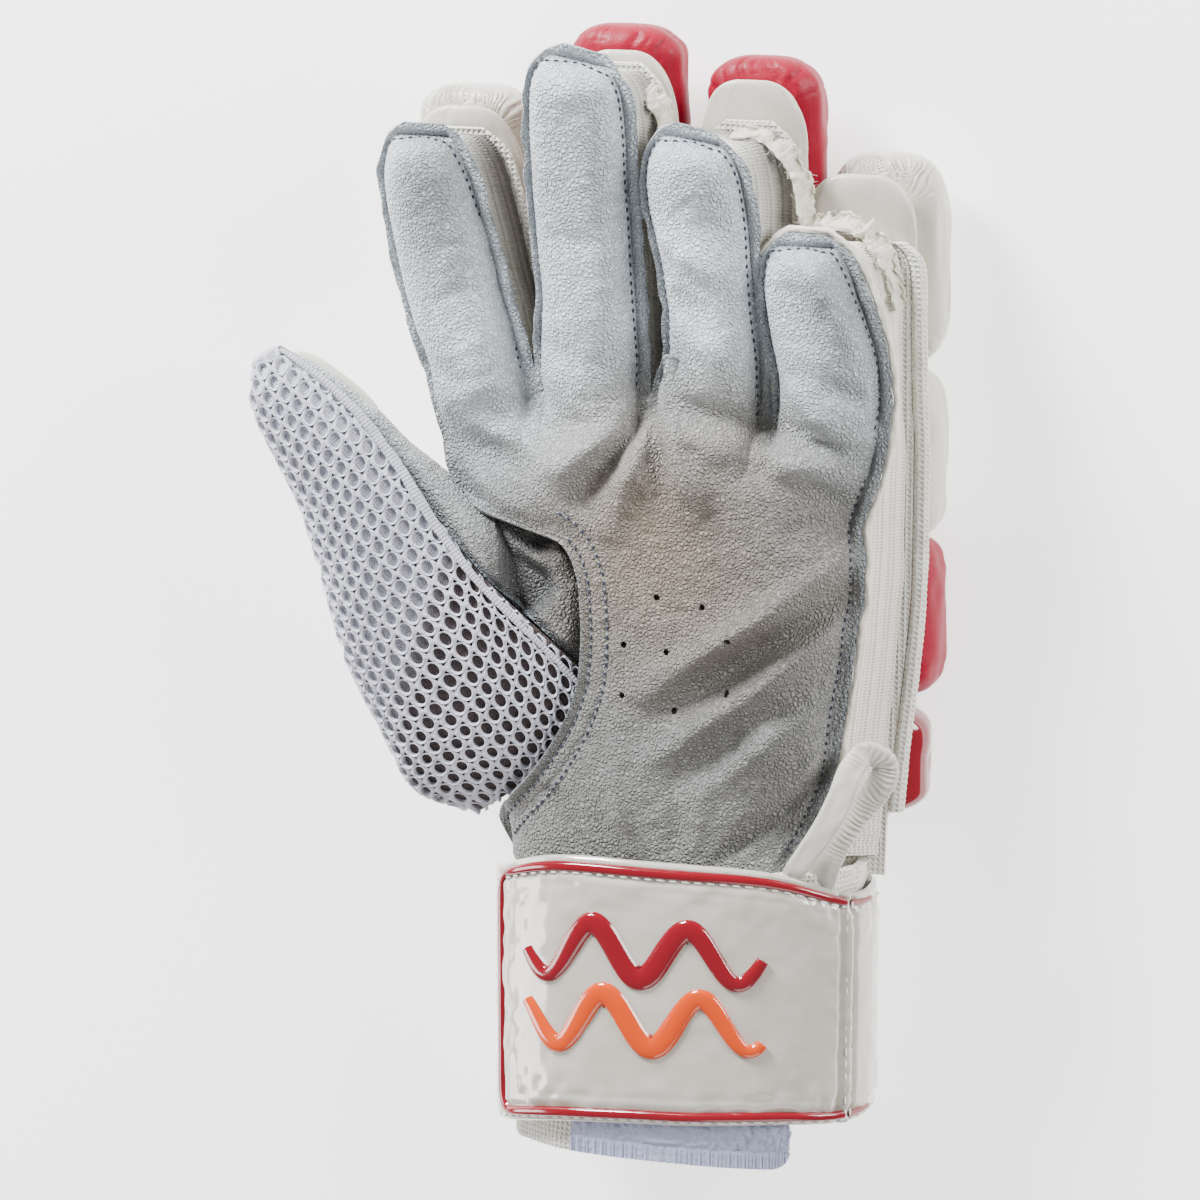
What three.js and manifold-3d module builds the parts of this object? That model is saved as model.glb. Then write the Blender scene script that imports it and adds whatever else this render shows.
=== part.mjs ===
// A cricket batting glove for the left hand, lying on its padded back with the palm up.
// Millimetres, +Z up. X runs across the hand towards the little finger, Y towards the fingertips.
// The glove is built in layers from the floor up: padded rolls, a flat pad under each finger, a cloth back,
// knitted side walls, and the palm leather, with a thumb stall, a wrist cuff and its strap.
import * as THREE from "three";
import { mergeVertices } from "three/addons/utils/BufferGeometryUtils.js";
import Module from "manifold-3d";

const wasm = await Module();
wasm.setup();

// Clearances and walls
const GAP = 0.35; // between pieces that touch
const LEATHER_WALL = 1.2;
const KNIT_WALL = 1.3;
const BACK_WALL = 1.5;
const MESH_WALL = 1.5;
const CUFF_WALL = 2.6;
const STRAP_WALL = 2.4;
const TAPE_WALL = 1.2;

// Heights of the layers above the floor
const ROLL_HEIGHT = 14;
const PAD_HEIGHT = 6;
const ROOM_HEIGHT = 10.4; // knitted wall between the cloth back and the leather's edge
const DOME_HEIGHT = 10; // how far the leather stands above its edge over a finger
const PALM_DOME = 12;

const BACK_TOP = ROLL_HEIGHT + GAP + PAD_HEIGHT + GAP + BACK_WALL;
const EDGE_HEIGHT = BACK_TOP + ROOM_HEIGHT; // the leather's edge

// The fingers curl up off the floor from this line
const CURL_START = 30;
const CURL_REACH = 105;
const CURL_RISE = 10;

// Palm
const PALM_LENGTH = 115;
const ROOT_Y = 50; // the roots of the fingers
const INDEX_EDGE = -42; // the index side of the palm at the roots
const SEAM_ALLOWANCE = 3.4; // flat edge outside the stitches

// Wrist
const CUFF_CENTRE_X = 20;
const CUFF_HALF_WIDTH = 43;
const CUFF_HALF_DEPTH = 19.8;
const CUFF_LENGTH = 70;
const CUFF_SQUARENESS = 2.5;
const CUFF_WAIST = 1.2; // how far the cuff draws in under the strap
const CUFF_RISE = 13; // its lower edge is this much higher on the little finger side
const STRAP_TOP_LAP = 6; // how far the strap laps over the leather
const STRAP_HEIGHT = 66;
const STRAP_DROP = 8; // the top edge is this much lower at the back
const STRAP_SPREAD = 3; // the strap is this much deeper at the back
const STRAP_SLANT = 4.2;
const TAPE_DROP = 10; // how far the tape hangs out below the strap
const STRAP_CORNER = 8;
const PIPING_WIDTH = 2;
const PIPING_HEIGHT = 0.8;
const PIPING_INSET = 2.6;
// Two raised wavy bands on the strap's face, from and to as shares of the strap's length
const WAVE_WIDTH = 5.5;
const WAVE_HEIGHT = 1;
const WAVE_SWING = 6.5;
const WAVE_COUNT = 2.5;
const WAVE_STEPS = 22;
const WAVE_FROM = 0.655;
const WAVE_TO = 0.9;

// Thumb
const THUMB_RISE = 14; // front of the thumb stall above its middle
const THUMB_DEPTH = 11; // back of the thumb stall below its middle
const THUMB_MIDDLE = 31;

// Leather stalls. halfWidth, lean and rollLean are shares of FINGER_HALF_WIDTH; length, rootY, rollReach and padReach
// are shares of FINGER_LENGTH. rootY is where the stall starts; rows give, along the stall, the shift of its centre and
// its half width as shares of halfWidth. behind gives the cloth back's stall and the padding behind it: lean is its
// shift at the tip, rolls the ends of its rolls above the hand pads, as shares of rollReach.
const FINGER_LENGTH = 80;
const FINGER_HALF_WIDTH = 14.4;
const STALL_SHARES = [
  {
    name: "index", halfWidth: 0.9306, length: 0.775, rootY: -0.00625,
    behind: { length: 0.7625, lean: -0.7639, rollLean: -0.6944, rollReach: 0.8875, padReach: 0.8375, rolls: [0.1, 0.54, 1] },
    rows: [[0, 0, 1], [0.14, -0.15, 1.03], [0.28, -0.36, 1.05], [0.46, -0.55, 1.05], [0.65, -0.74, 1.01], [0.8, -0.86, 0.94],
      [0.9, -0.89, 0.8], [0.965, -0.88, 0.58], [1, -0.88, 0.36]],
  },
  {
    name: "middle", halfWidth: 1, length: 1, rootY: 0.075,
    behind: { length: 0.9625, lean: 0.0347, rollLean: -0.1389, rollReach: 1.0875, padReach: 1.025, rolls: [0.08, 0.36, 0.64, 1] },
    rows: [[0, 0, 1], [0.12, 0, 0.99], [0.26, 0, 0.95], [0.44, -0.05, 0.97], [0.62, -0.09, 0.97], [0.78, -0.09, 0.96],
      [0.9, -0.08, 0.88], [0.965, -0.03, 0.62], [1, 0.03, 0.36]],
  },
  {
    name: "ring", halfWidth: 1.0139, length: 0.8375, rootY: 0.025,
    behind: { length: 0.8625, lean: 0.2431, rollLean: 0.0972, rollReach: 1.00625, padReach: 0.95, rolls: [0.09, 0.5, 1] },
    rows: [[0, 0, 1], [0.15, 0.11, 0.92], [0.32, 0.08, 0.87], [0.48, 0.02, 0.88], [0.63, -0.06, 0.93], [0.76, -0.15, 0.95],
      [0.88, -0.2, 0.86], [0.96, -0.18, 0.6], [1, -0.12, 0.34]],
  },
  {
    name: "little", halfWidth: 1, length: 0.575, rootY: -0.04375,
    behind: { length: 0.575, lean: 0.0347, rollLean: 0.0139, rollReach: 0.73125, padReach: 0.68125, rolls: [0.12, 1] },
    rows: [[0, 0, 1], [0.14, 0.03, 1.01], [0.3, 0.01, 1.01], [0.46, -0.11, 0.99], [0.62, -0.24, 0.94], [0.77, -0.33, 0.87],
      [0.88, -0.36, 0.75], [0.96, -0.36, 0.54], [1, -0.36, 0.34]],
  },
];
const STALLS = STALL_SHARES.map((stall) => ({
  ...stall,
  halfWidth: stall.halfWidth * FINGER_HALF_WIDTH,
  length: stall.length * FINGER_LENGTH,
  rootY: stall.rootY * FINGER_LENGTH,
  behind: {
    ...stall.behind,
    length: stall.behind.length * FINGER_LENGTH,
    lean: stall.behind.lean * FINGER_HALF_WIDTH,
    rollLean: stall.behind.rollLean * FINGER_HALF_WIDTH,
    rollReach: stall.behind.rollReach * FINGER_LENGTH,
    padReach: stall.behind.padReach * FINGER_LENGTH,
  },
}));
const LAST_ROOT_Y = -0.05 * FINGER_LENGTH;
const CLOTH_SPACING = 28.4; // between the middles of the stalls of the cloth back
const CLOTH_HALF_WIDTH = CLOTH_SPACING / 2 - 0.8;
const CLOTH_SHIFT = 3.2; // the back sits this far towards the little finger
const ROLL_SPACING = CLOTH_SPACING + 2; // between the middles of the rolls across the back
const ROLL_SHIFT = 4.9;

// Palm rows: share of PALM_LENGTH down from the roots, inset of the left and right borders as shares of the palm's
// width, and the height of the left border above the leather's edge as a share of PALM_DOME.
const PALM_ROWS = [
  [0, 0, 0, 0], [0.05, 0.013, 0.007, 0.02], [0.1, 0.03, 0.018, 0.05], [0.15, 0.04, 0.034, 0.12], [0.195, 0.06, 0.048, 0.28],
  [0.235, 0.115, 0.055, 0.5], [0.265, 0.22, 0.052, 0.7], [0.29, 0.31, 0.047, 0.8], [0.35, 0.352, 0.049, 0.88],
  [0.43, 0.362, 0.057, 0.88], [0.51, 0.363, 0.067, 0.88], [0.59, 0.354, 0.08, 0.88], [0.66, 0.33, 0.091, 0.86],
  [0.73, 0.292, 0.097, 0.82], [0.8, 0.242, 0.115, 0.72], [0.86, 0.188, 0.138, 0.54], [0.92, 0.14, 0.162, 0.28],
  [0.96, 0.14, 0.178, 0.05], [1, 0.16, 0.192, -0.1],
];
// Folds of the palm leather: start and end as shares of the palm's width and length, height as a share of PALM_DOME and
// half width as a share of PALM_LENGTH.
const FOLDS = [
  { x0: 0.49, y0: -0.02, x1: 0.22, y1: 0.21, rise: 0.217, spread: 0.043 },
  { x0: 0.5, y0: 0.02, x1: 0.37, y1: 0.25, rise: 0.183, spread: 0.039 },
  { x0: 0.46, y0: -0.01, x1: 0.1, y1: 0.17, rise: -0.183, spread: 0.043 },
  { x0: 0.9, y0: 0.26, x1: 0.4, y1: 0.66, rise: 0.2, spread: 0.043 },
  { x0: 0.86, y0: 0.42, x1: 0.36, y1: 0.82, rise: -0.167, spread: 0.061 },
  { x0: 0.84, y0: 0.72, x1: 0.58, y1: 0.99, rise: -0.217, spread: 0.035 },
  { x0: 0.52, y0: 0.03, x1: 0.72, y1: 0.12, rise: -0.167, spread: 0.035 },
  { x0: 0.76, y0: 0.06, x1: 0.94, y1: 0.1, rise: -0.2, spread: 0.052 },
];
// Thumb stations from the palm to the tip. a is the border on the finger side and b on the outer side, from the palm's
// index corner, as shares of the palm's width and length. push is how far the web bulges under the palm, as a share of
// the palm's width; rise, depth and middle are shares of THUMB_RISE, THUMB_DEPTH and THUMB_RISE; seam is where the mesh
// meets the leather in front.
const THUMB = [
  { a: [0.2113, -0.2652], b: [0.1012, -0.9174], push: 0.2465, rise: 0.5, depth: 0.5, middle: 0, seam: 0.47 },
  { a: [0.1276, -0.2278], b: [0.044, -0.9026], push: 0.132, rise: 0.86, depth: 0.62, middle: 0, seam: 0.43 },
  { a: [0.0836, -0.213], b: [-0.044, -0.867], push: 0.0572, rise: 1, depth: 0.74, middle: 0, seam: 0.37 },
  { a: [0.044, -0.1913], b: [-0.11, -0.7478], push: 0.0132, rise: 1.06, depth: 0.9, middle: 0, seam: 0.32 },
  { a: [0, -0.1609], b: [-0.1893, -0.5896], push: 0, rise: 1.08, depth: 1, middle: 0.0214, seam: 0.27 },
  { a: [-0.0572, -0.1174], b: [-0.2377, -0.4174], push: 0, rise: 1, depth: 0.96, middle: 0.0571, seam: 0.23 },
  { a: [-0.1232, -0.0565], b: [-0.2861, -0.2652], push: 0, rise: 0.88, depth: 0.86, middle: 0.1143, seam: 0.2 },
  { a: [-0.1981, 0.0043], b: [-0.3389, -0.1609], push: 0, rise: 0.74, depth: 0.74, middle: 0.1857, seam: 0.18 },
  { a: [-0.2685, 0.0478], b: [-0.3891, -0.0522], push: 0, rise: 0.56, depth: 0.56, middle: 0.2571, seam: 0.16 },
  { a: [-0.3239, 0.0713], b: [-0.3856, 0.033], push: 0, rise: 0.3, depth: 0.3, middle: 0.3143, seam: 0.14 },
];
const THUMB_BACK_SEAM = 0.62; // share of the way round where the mesh ends behind

// Colours from the photograph
const finish = (color, roughness) => new THREE.MeshStandardMaterial({ color, roughness, metalness: 0 });
const LEATHER = finish(0xd4d6d6, 0.6);
const KNIT = finish(0xd8d3c6, 0.95);
const MESH = finish(0xd6d6dd, 0.9);
const CREAM = finish(0xece8df, 0.45);
const RED = finish(0xd2384f, 0.4);
const GLOSS_RED = finish(0xd8101e, 0.15);
const GLOSS_WHITE = finish(0xe9e6df, 0.12);
const ORANGE = finish(0xff6a10, 0.2);
const TAPE = finish(0xdcdde8, 0.95);
const TOWEL = finish(0xe6e1d6, 1);

const V = (x, y, z) => new THREE.Vector3(x, y, z);
const clamp = (x, lo, hi) => Math.min(hi, Math.max(lo, x));
const mix = (a, b, t) => a + (b - a) * t;
const smoothstep = (t) => { const c = clamp(t, 0, 1); return c * c * (3 - 2 * c); };
const steps = (n) => Array.from({ length: n + 1 }, (_, i) => i / n);

const lift = (y) => CURL_RISE * Math.max(0, (y - CURL_START) / CURL_REACH) ** 2;

// Reads a table whose first column rises, with smooth slopes between its rows.
function reading(rows, t, column) {
  let i = 0;
  while (i < rows.length - 2 && t > rows[i + 1][0]) i += 1;
  const [p0, p1, p2, p3] = [rows[Math.max(i - 1, 0)], rows[i], rows[i + 1], rows[Math.min(i + 2, rows.length - 1)]];
  const span = p2[0] - p1[0];
  const s = clamp((t - p1[0]) / span, 0, 1);
  const m1 = ((p2[column] - p0[column]) / (p2[0] - p0[0] || 1)) * span;
  const m2 = ((p3[column] - p1[column]) / (p3[0] - p1[0] || 1)) * span;
  return (2 * s ** 3 - 3 * s ** 2 + 1) * p1[column] + (s ** 3 - 2 * s ** 2 + s) * m1
    + (3 * s ** 2 - 2 * s ** 3) * p2[column] + (s ** 3 - s ** 2) * m2;
}

const glove = new THREE.Group();

function addMesh(name, positions, faces, material) {
  const geometry = new THREE.BufferGeometry();
  geometry.setAttribute("position", new THREE.Float32BufferAttribute(positions.flatMap((p) => [p.x, p.y, p.z]), 3));
  geometry.setIndex(faces.flat());
  geometry.computeVertexNormals();
  const mesh = new THREE.Mesh(geometry, material);
  mesh.name = name;
  glove.add(mesh);
  return mesh;
}

// A sheet of quads given a wall thickness on its inner side. Its open borders are closed by a rim.
// An upright sheet is thickened level, so its lower and upper edges stay where they are.
function addSheet(name, points, quads, wall, material, upright = false) {
  const normals = points.map(() => V(0, 0, 0));
  for (const q of quads) {
    const [a, b, c, d] = q.map((i) => points[i]);
    const n = V(0, 0, 0).crossVectors(c.clone().sub(a), d.clone().sub(b));
    for (const i of q) normals[i].add(n);
  }
  if (upright) normals.forEach((n) => n.setZ(0));
  const inner = points.map((p, i) => p.clone().addScaledVector(normals[i].normalize(), -wall));
  const count = points.length;
  const faces = [];
  const edges = new Map();
  for (const q of quads) {
    const [a, b, c, d] = q;
    faces.push([a, b, c], [a, c, d], [count + a, count + c, count + b], [count + a, count + d, count + c]);
    q.forEach((from, k) => edges.set(`${from} ${q[(k + 1) % 4]}`, [from, q[(k + 1) % 4]]));
  }
  for (const [from, to] of edges.values()) {
    if (!edges.has(`${to} ${from}`)) faces.push([to, from, count + from], [to, count + from, count + to]);
  }
  return addMesh(name, [...points, ...inner], faces, material);
}

// Quads between the rows of a grid of points. The rows run so that the outer side shows.
function gridQuads(rowCount, columnCount, closed = false) {
  const quads = [];
  const columns = closed ? columnCount : columnCount - 1;
  for (let r = 0; r < rowCount - 1; r += 1) {
    for (let c = 0; c < columns; c += 1) {
      const next = (c + 1) % columnCount;
      quads.push([r * columnCount + c, r * columnCount + next, (r + 1) * columnCount + next, (r + 1) * columnCount + c]);
    }
  }
  return quads;
}

// A closed body through rings of equal size, with a point at each end.
function addLoft(name, rings, material) {
  const size = rings[0].length;
  const points = rings.flat();
  const middleOf = (ring) => ring.reduce((sum, p) => sum.add(p), V(0, 0, 0)).divideScalar(size);
  const start = points.push(middleOf(rings[0])) - 1;
  const end = points.push(middleOf(rings.at(-1))) - 1;
  const faces = gridQuads(rings.length, size, true).flatMap(([a, b, c, d]) => [[a, b, c], [a, c, d]]);
  const last = (rings.length - 1) * size;
  for (let i = 0; i < size; i += 1) {
    const next = (i + 1) % size;
    faces.push([start, next, i], [end, last + i, last + next]);
  }
  return addMesh(name, points, faces, material);
}

// The two sheets of the hand, leather in front and cloth behind
const halfWidths = STALLS.map((stall) => stall.halfWidth);
const rootXs = [INDEX_EDGE];
halfWidths.forEach((half) => rootXs.push(rootXs.at(-1) + 2 * half));
const PALM_WIDTH = rootXs.at(-1) - rootXs[0];
const rootYs = [...STALLS.map((stall) => ROOT_Y + stall.rootY), ROOT_Y + LAST_ROOT_Y];

const leatherSheet = {
  roots: rootXs.map((x, i) => V(x, rootYs[i], 0)),
  stalls: STALLS.map((stall) => ({ ...stall })),
};
const PALM_MIDDLE = mix(rootXs[0], rootXs.at(-1), 0.5);
const backRootX = (i) => PALM_MIDDLE + CLOTH_SHIFT + (i - STALLS.length / 2) * CLOTH_SPACING;
const backSheet = {
  roots: rootXs.map((_, i) => V(backRootX(i), rootYs[i] - 1.5, 0)),
  stalls: STALLS.map(({ name, behind }) => {
    const lean = behind.lean / CLOTH_HALF_WIDTH;
    return {
      name,
      halfWidth: CLOTH_HALF_WIDTH,
      length: behind.length,
      rows: [[0, 0, CLOTH_SPACING / 2 / CLOTH_HALF_WIDTH], [0.1, lean * 0.1, 1.02], [0.5, lean * 0.55, 0.98],
        [0.85, lean * 0.95, 0.94], [0.94, lean, 0.76], [1, lean, 0.42]],
    };
  }),
};

// A place on a stall: u runs across it from -1 to 1, t along it from 0 at the root to 1 at the tip.
function stallPoint(sheet, index, u, t) {
  const [left, right] = [sheet.roots[index], sheet.roots[index + 1]];
  const stall = sheet.stalls[index];
  const root = left.clone().add(right).multiplyScalar(0.5);
  const at = (s) => V(root.x + reading(stall.rows, s, 1) * stall.halfWidth, root.y + s * stall.length, 0);
  const slope = at(Math.min(t + 0.06, 1)).sub(at(Math.max(t - 0.06, 0))).normalize();
  const rootAcross = right.clone().sub(left).normalize();
  const across = rootAcross.lerp(V(slope.y, -slope.x, 0), smoothstep(t / 0.25)).normalize();
  const rootHalf = left.distanceTo(right) / 2;
  const half = mix(rootHalf, reading(stall.rows, t, 2) * stall.halfWidth, smoothstep(t / 0.12));
  return at(t).addScaledVector(across, u * half);
}

const flatShare = (halfWidth) => 1 - SEAM_ALLOWANCE / halfWidth;
// Height of the leather over its edge across a stall, flat outside the stitches.
function domeAcross(u, halfWidth) {
  const s = clamp(Math.abs(u) / flatShare(halfWidth), 0, 1);
  return (1 - s ** 2.4) ** 0.6;
}
const domeAlong = (t, stall) => {
  const s = clamp((t * stall.length - (stall.length - 3.4 * SEAM_ALLOWANCE)) / (2.4 * SEAM_ALLOWANCE), 0, 1);
  return Math.sqrt(1 - s * s);
};

function foldHeight(x, y) {
  let height = 0;
  for (const fold of FOLDS) {
    const a = V(rootXs[0] + fold.x0 * PALM_WIDTH, ROOT_Y - fold.y0 * PALM_LENGTH, 0);
    const b = V(rootXs[0] + fold.x1 * PALM_WIDTH, ROOT_Y - fold.y1 * PALM_LENGTH, 0);
    const along = b.clone().sub(a);
    const s = clamp(V(x, y, 0).sub(a).dot(along) / along.lengthSq(), 0, 1);
    const away = V(x, y, 0).distanceTo(a.addScaledVector(along, s));
    const shape = Math.exp(-((away / (fold.spread * PALM_LENGTH)) ** 2));
    height += PALM_DOME * fold.rise * shape * Math.sin(Math.PI * mix(0.12, 0.95, s));
  }
  return height;
}

// Wrist sections: a squared oval round the cuff's middle, grown by some distance.
const CUFF_CENTRE_Z = CUFF_HALF_DEPTH + TAPE_WALL + STRAP_WALL + 3 * GAP;
function wristPoint(angle, grow, y) {
  const power = 2 / CUFF_SQUARENESS;
  const [c, s] = [Math.cos(angle), Math.sin(angle)];
  const x = CUFF_CENTRE_X + (CUFF_HALF_WIDTH + grow) * Math.sign(c) * Math.abs(c) ** power;
  const z = CUFF_CENTRE_Z + (CUFF_HALF_DEPTH + grow) * Math.sign(s) * Math.abs(s) ** power;
  return V(x, y, z);
}
const wristFrontZ = (x) => {
  const s = clamp(Math.abs(x - CUFF_CENTRE_X) / CUFF_HALF_WIDTH, 0, 1);
  return CUFF_CENTRE_Z + CUFF_HALF_DEPTH * (1 - s ** CUFF_SQUARENESS) ** (1 / CUFF_SQUARENESS);
};

// Palm leather: one sheet whose four stalls grow out of the palm's first row
const STALL_COLUMNS = [-1, -0.88, -0.62, -0.32, 0, 0.32, 0.62, 0.88, 1];
const PALM_FLAT = SEAM_ALLOWANCE / PALM_WIDTH;

function palmBorder(row) {
  const [down, left, right] = row;
  const y = -down * PALM_LENGTH;
  return [
    V(rootXs[0] + left * PALM_WIDTH, ROOT_Y + y, 0),
    V(rootXs.at(-1) - right * PALM_WIDTH, ROOT_Y + y, 0),
  ];
}

function palmPoint(row, share, rootPoint, rootDome) {
  const [down, , , leftRise] = row;
  const [left, right] = palmBorder(row);
  const p = left.lerp(right, share);
  p.y = mix(p.y, rootPoint.y - down * PALM_LENGTH, 1 - smoothstep(down / 0.3));
  const inside = clamp((1 - share - PALM_FLAT) / (0.28 - PALM_FLAT), 0, 1);
  const fromLeft = mix(leftRise, 1, smoothstep(share / 0.3));
  const dome = PALM_DOME * fromLeft * Math.sin((inside * Math.PI) / 2);
  const scallop = mix(rootDome, dome, smoothstep(down / 0.16));
  const folds = foldHeight(p.x, p.y) * smoothstep(inside * 1.5) * smoothstep(share * 6) * smoothstep((1 - down) * 8);
  const free = EDGE_HEIGHT + scallop + folds + lift(p.y);
  p.z = mix(free, wristFrontZ(p.x), smoothstep((down - 0.82) / 0.17));
  return p;
}

function buildPalmLeather() {
  const points = [];
  const quads = [];
  const rowSize = STALLS.length * (STALL_COLUMNS.length - 1) + 1;
  const rootRow = [];
  STALLS.forEach((stall, f) => {
    STALL_COLUMNS.forEach((u, c) => {
      if (f > 0 && c === 0) return;
      const p = stallPoint(leatherSheet, f, u, 0);
      rootRow.push({ p, dome: DOME_HEIGHT * domeAcross(u, stall.halfWidth), share: rootRow.length / (rowSize - 1) });
    });
  });
  for (const row of PALM_ROWS) {
    for (const { p, dome, share } of rootRow) {
      const [left, right] = [rootXs[0], rootXs.at(-1)];
      const even = (p.x - left) / (right - left);
      points.push(palmPoint(row, mix(even, share, 0), p, dome));
    }
  }
  quads.push(...gridQuads(PALM_ROWS.length, rowSize).map((q) => q.slice().reverse()));
  STALLS.forEach((stall, f) => {
    const first = f * (STALL_COLUMNS.length - 1);
    let below = STALL_COLUMNS.map((_, c) => first + c);
    for (const [t] of stall.rows.slice(1)) {
      const here = STALL_COLUMNS.map((u) => {
        const p = stallPoint(leatherSheet, f, u, t);
        p.z = EDGE_HEIGHT + lift(p.y) + DOME_HEIGHT * domeAcross(u, stall.halfWidth) * domeAlong(t, stall);
        return points.push(p) - 1;
      });
      for (let c = 0; c < here.length - 1; c += 1) quads.push([below[c], below[c + 1], here[c + 1], here[c]]);
      below = here;
    }
  });
  return addSheet("palm_leather", points, quads, LEATHER_WALL, LEATHER);
}

// Vent holes punched through the middle of the palm: shares of the palm's width and length
const VENT_RADIUS = 0.8;
const VENTS = [[0.53, 0.39], [0.63, 0.4], [0.46, 0.495], [0.695, 0.465], [0.555, 0.505], [0.457, 0.605], [0.68, 0.583], [0.565, 0.628]];

function solidOf(mesh) {
  const geometry = mesh.geometry.clone();
  geometry.deleteAttribute("normal");
  const merged = mergeVertices(geometry, 1e-4);
  const [positions, index] = [merged.attributes.position.array, merged.index.array];
  return new wasm.Manifold(new wasm.Mesh({ numProp: 3, vertProperties: new Float32Array(positions), triVerts: new Uint32Array(index) }));
}

function setSolid(mesh, solid) {
  const made = solid.getMesh();
  const geometry = new THREE.BufferGeometry();
  geometry.setAttribute("position", new THREE.Float32BufferAttribute(made.vertProperties, 3));
  geometry.setIndex(new THREE.Uint32BufferAttribute(made.triVerts, 1));
  geometry.computeVertexNormals();
  mesh.geometry = geometry;
}

function punchVents(mesh) {
  let solid = solidOf(mesh);
  for (const [across, down] of VENTS) {
    const punch = new THREE.CylinderGeometry(VENT_RADIUS, VENT_RADIUS, 60, 6);
    punch.rotateX(Math.PI / 2);
    punch.translate(rootXs[0] + across * PALM_WIDTH, ROOT_Y - down * PALM_LENGTH, EDGE_HEIGHT);
    punch.deleteAttribute("uv");
    solid = solid.subtract(solidOf({ geometry: punch }));
  }
  setSolid(mesh, solid);
}

// Cloth back: the same build, flat, over the pads
const BACK_ROWS = [0, 0.16, 0.36, 0.58, 0.8, 1];
const BACK_WAIST = 0.13; // how far the index side draws in towards the wrist, as a share of the width
const BACK_TAPER = 0.05; // and the little finger side
const BACK_COLUMNS = [-1, -0.5, 0, 0.5, 1];

function backEdge(share, down) {
  const [left, right] = [backSheet.roots[0].x, backSheet.roots.at(-1).x];
  const drawn = (right - left) * smoothstep((down - 0.3) / 0.7);
  return mix(left + BACK_WAIST * drawn, right - BACK_TAPER * drawn, share);
}

function backPalmPoint(share, down, rootY) {
  const y = mix(rootY, ROOT_Y, smoothstep(down / 0.2)) - down * PALM_LENGTH;
  return V(backEdge(share, down), y, BACK_TOP + lift(y));
}

function buildBackCloth() {
  const points = [];
  const rootRow = [];
  STALLS.forEach((_, f) => {
    BACK_COLUMNS.forEach((u, c) => {
      if (f > 0 && c === 0) return;
      rootRow.push(stallPoint(backSheet, f, u, 0));
    });
  });
  const [left, right] = [backSheet.roots[0].x, backSheet.roots.at(-1).x];
  for (const down of BACK_ROWS) {
    for (const p of rootRow) points.push(backPalmPoint((p.x - left) / (right - left), down, p.y));
  }
  const quads = gridQuads(BACK_ROWS.length, rootRow.length).map((q) => q.slice().reverse());
  STALLS.forEach((_, f) => {
    const first = f * (BACK_COLUMNS.length - 1);
    let below = BACK_COLUMNS.map((_unused, c) => first + c);
    for (const t of [0.12, 0.4, 0.7, 0.87, 0.95, 1]) {
      const here = BACK_COLUMNS.map((u) => {
        const p = stallPoint(backSheet, f, u, t);
        p.z = BACK_TOP + lift(p.y);
        return points.push(p) - 1;
      });
      for (let c = 0; c < here.length - 1; c += 1) quads.push([below[c], below[c + 1], here[c + 1], here[c]]);
      below = here;
    }
  });
  return addSheet("back_cloth", points, quads, BACK_WALL, TOWEL);
}

// Knitted walls: a ribbon from the cloth back up to the leather's edge, along a route on both sheets
const WALL_INSET = 0.86; // share of the stall's half width where the wall stands
const WALL_LEVELS = [0, 0.5, 1];
const WALL_HEADROOM = 1; // below the leather's inner side

function wallPoints(route) {
  return WALL_LEVELS.map((level) => route.map(({ top, bottom }) => {
    const low = bottom.clone().setZ(BACK_TOP + 2 * GAP + lift(bottom.y));
    const high = top.clone().setZ(EDGE_HEIGHT - LEATHER_WALL - WALL_HEADROOM + lift(top.y));
    return low.lerp(high, level);
  }));
}

function addWall(name, route) {
  const rows = wallPoints(route);
  const quads = gridQuads(rows.length, route.length);
  return addSheet(name, rows.flat(), quads, KNIT_WALL, KNIT, true);
}

function stallStop(f, u, t) {
  return { top: stallPoint(leatherSheet, f, u * WALL_INSET, t * 0.955), bottom: stallPoint(backSheet, f, u * WALL_INSET, t * 0.97) };
}
const SIDE_STOPS = [1, 0.93, 0.8, 0.64, 0.48, 0.32, 0.16, 0.05];

// Between two stalls: from the tip of one, down into the crotch and up to the tip of the next
function buildFourchette(f) {
  const down = SIDE_STOPS.map((t) => stallStop(f, 1, t));
  const up = [...SIDE_STOPS].reverse().map((t) => stallStop(f + 1, -1, t));
  const crotch = { top: leatherSheet.roots[f + 1].clone(), bottom: backSheet.roots[f + 1].clone() };
  crotch.top.y -= 1.6;
  crotch.bottom.y -= 1.6;
  const route = [stallStop(f, 0.06, 1), stallStop(f, 0.55, 1), ...down, crotch, ...up, stallStop(f + 1, -0.55, 1), stallStop(f + 1, -0.06, 1)];
  addWall(`knit_${STALLS[f].name}_${STALLS[f + 1].name}`, route.reverse());
}

function palmStop(row, side) {
  const [left, right] = palmBorder(row);
  const top = side < 0 ? left : right;
  top.x -= side * (1 - WALL_INSET) * STALLS[0].halfWidth;
  const bottom = V(backEdge(side < 0 ? 0.015 : 0.985, row[0]), top.y, 0);
  return { top, bottom };
}

const THUMB_START = 5; // palm row where the thumb stall starts
const WRIST_STOP = PALM_ROWS.length - 2;

function buildSideWalls() {
  const last = STALLS.length - 1;
  const littleSide = [stallStop(last, 0.06, 1), stallStop(last, 0.55, 1), ...SIDE_STOPS.map((t) => stallStop(last, 1, t)),
    ...PALM_ROWS.slice(1, WRIST_STOP + 1).filter((_, i) => i % 2 === 0).map((row) => palmStop(row, 1))];
  addWall("knit_little_side", littleSide.reverse());
  const indexSide = [stallStop(0, -0.06, 1), stallStop(0, -0.55, 1), ...SIDE_STOPS.map((t) => stallStop(0, -1, t)),
    ...PALM_ROWS.slice(1, THUMB_START).map((row) => palmStop(row, -1))];
  addWall("knit_index_side", indexSide);
}

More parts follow.
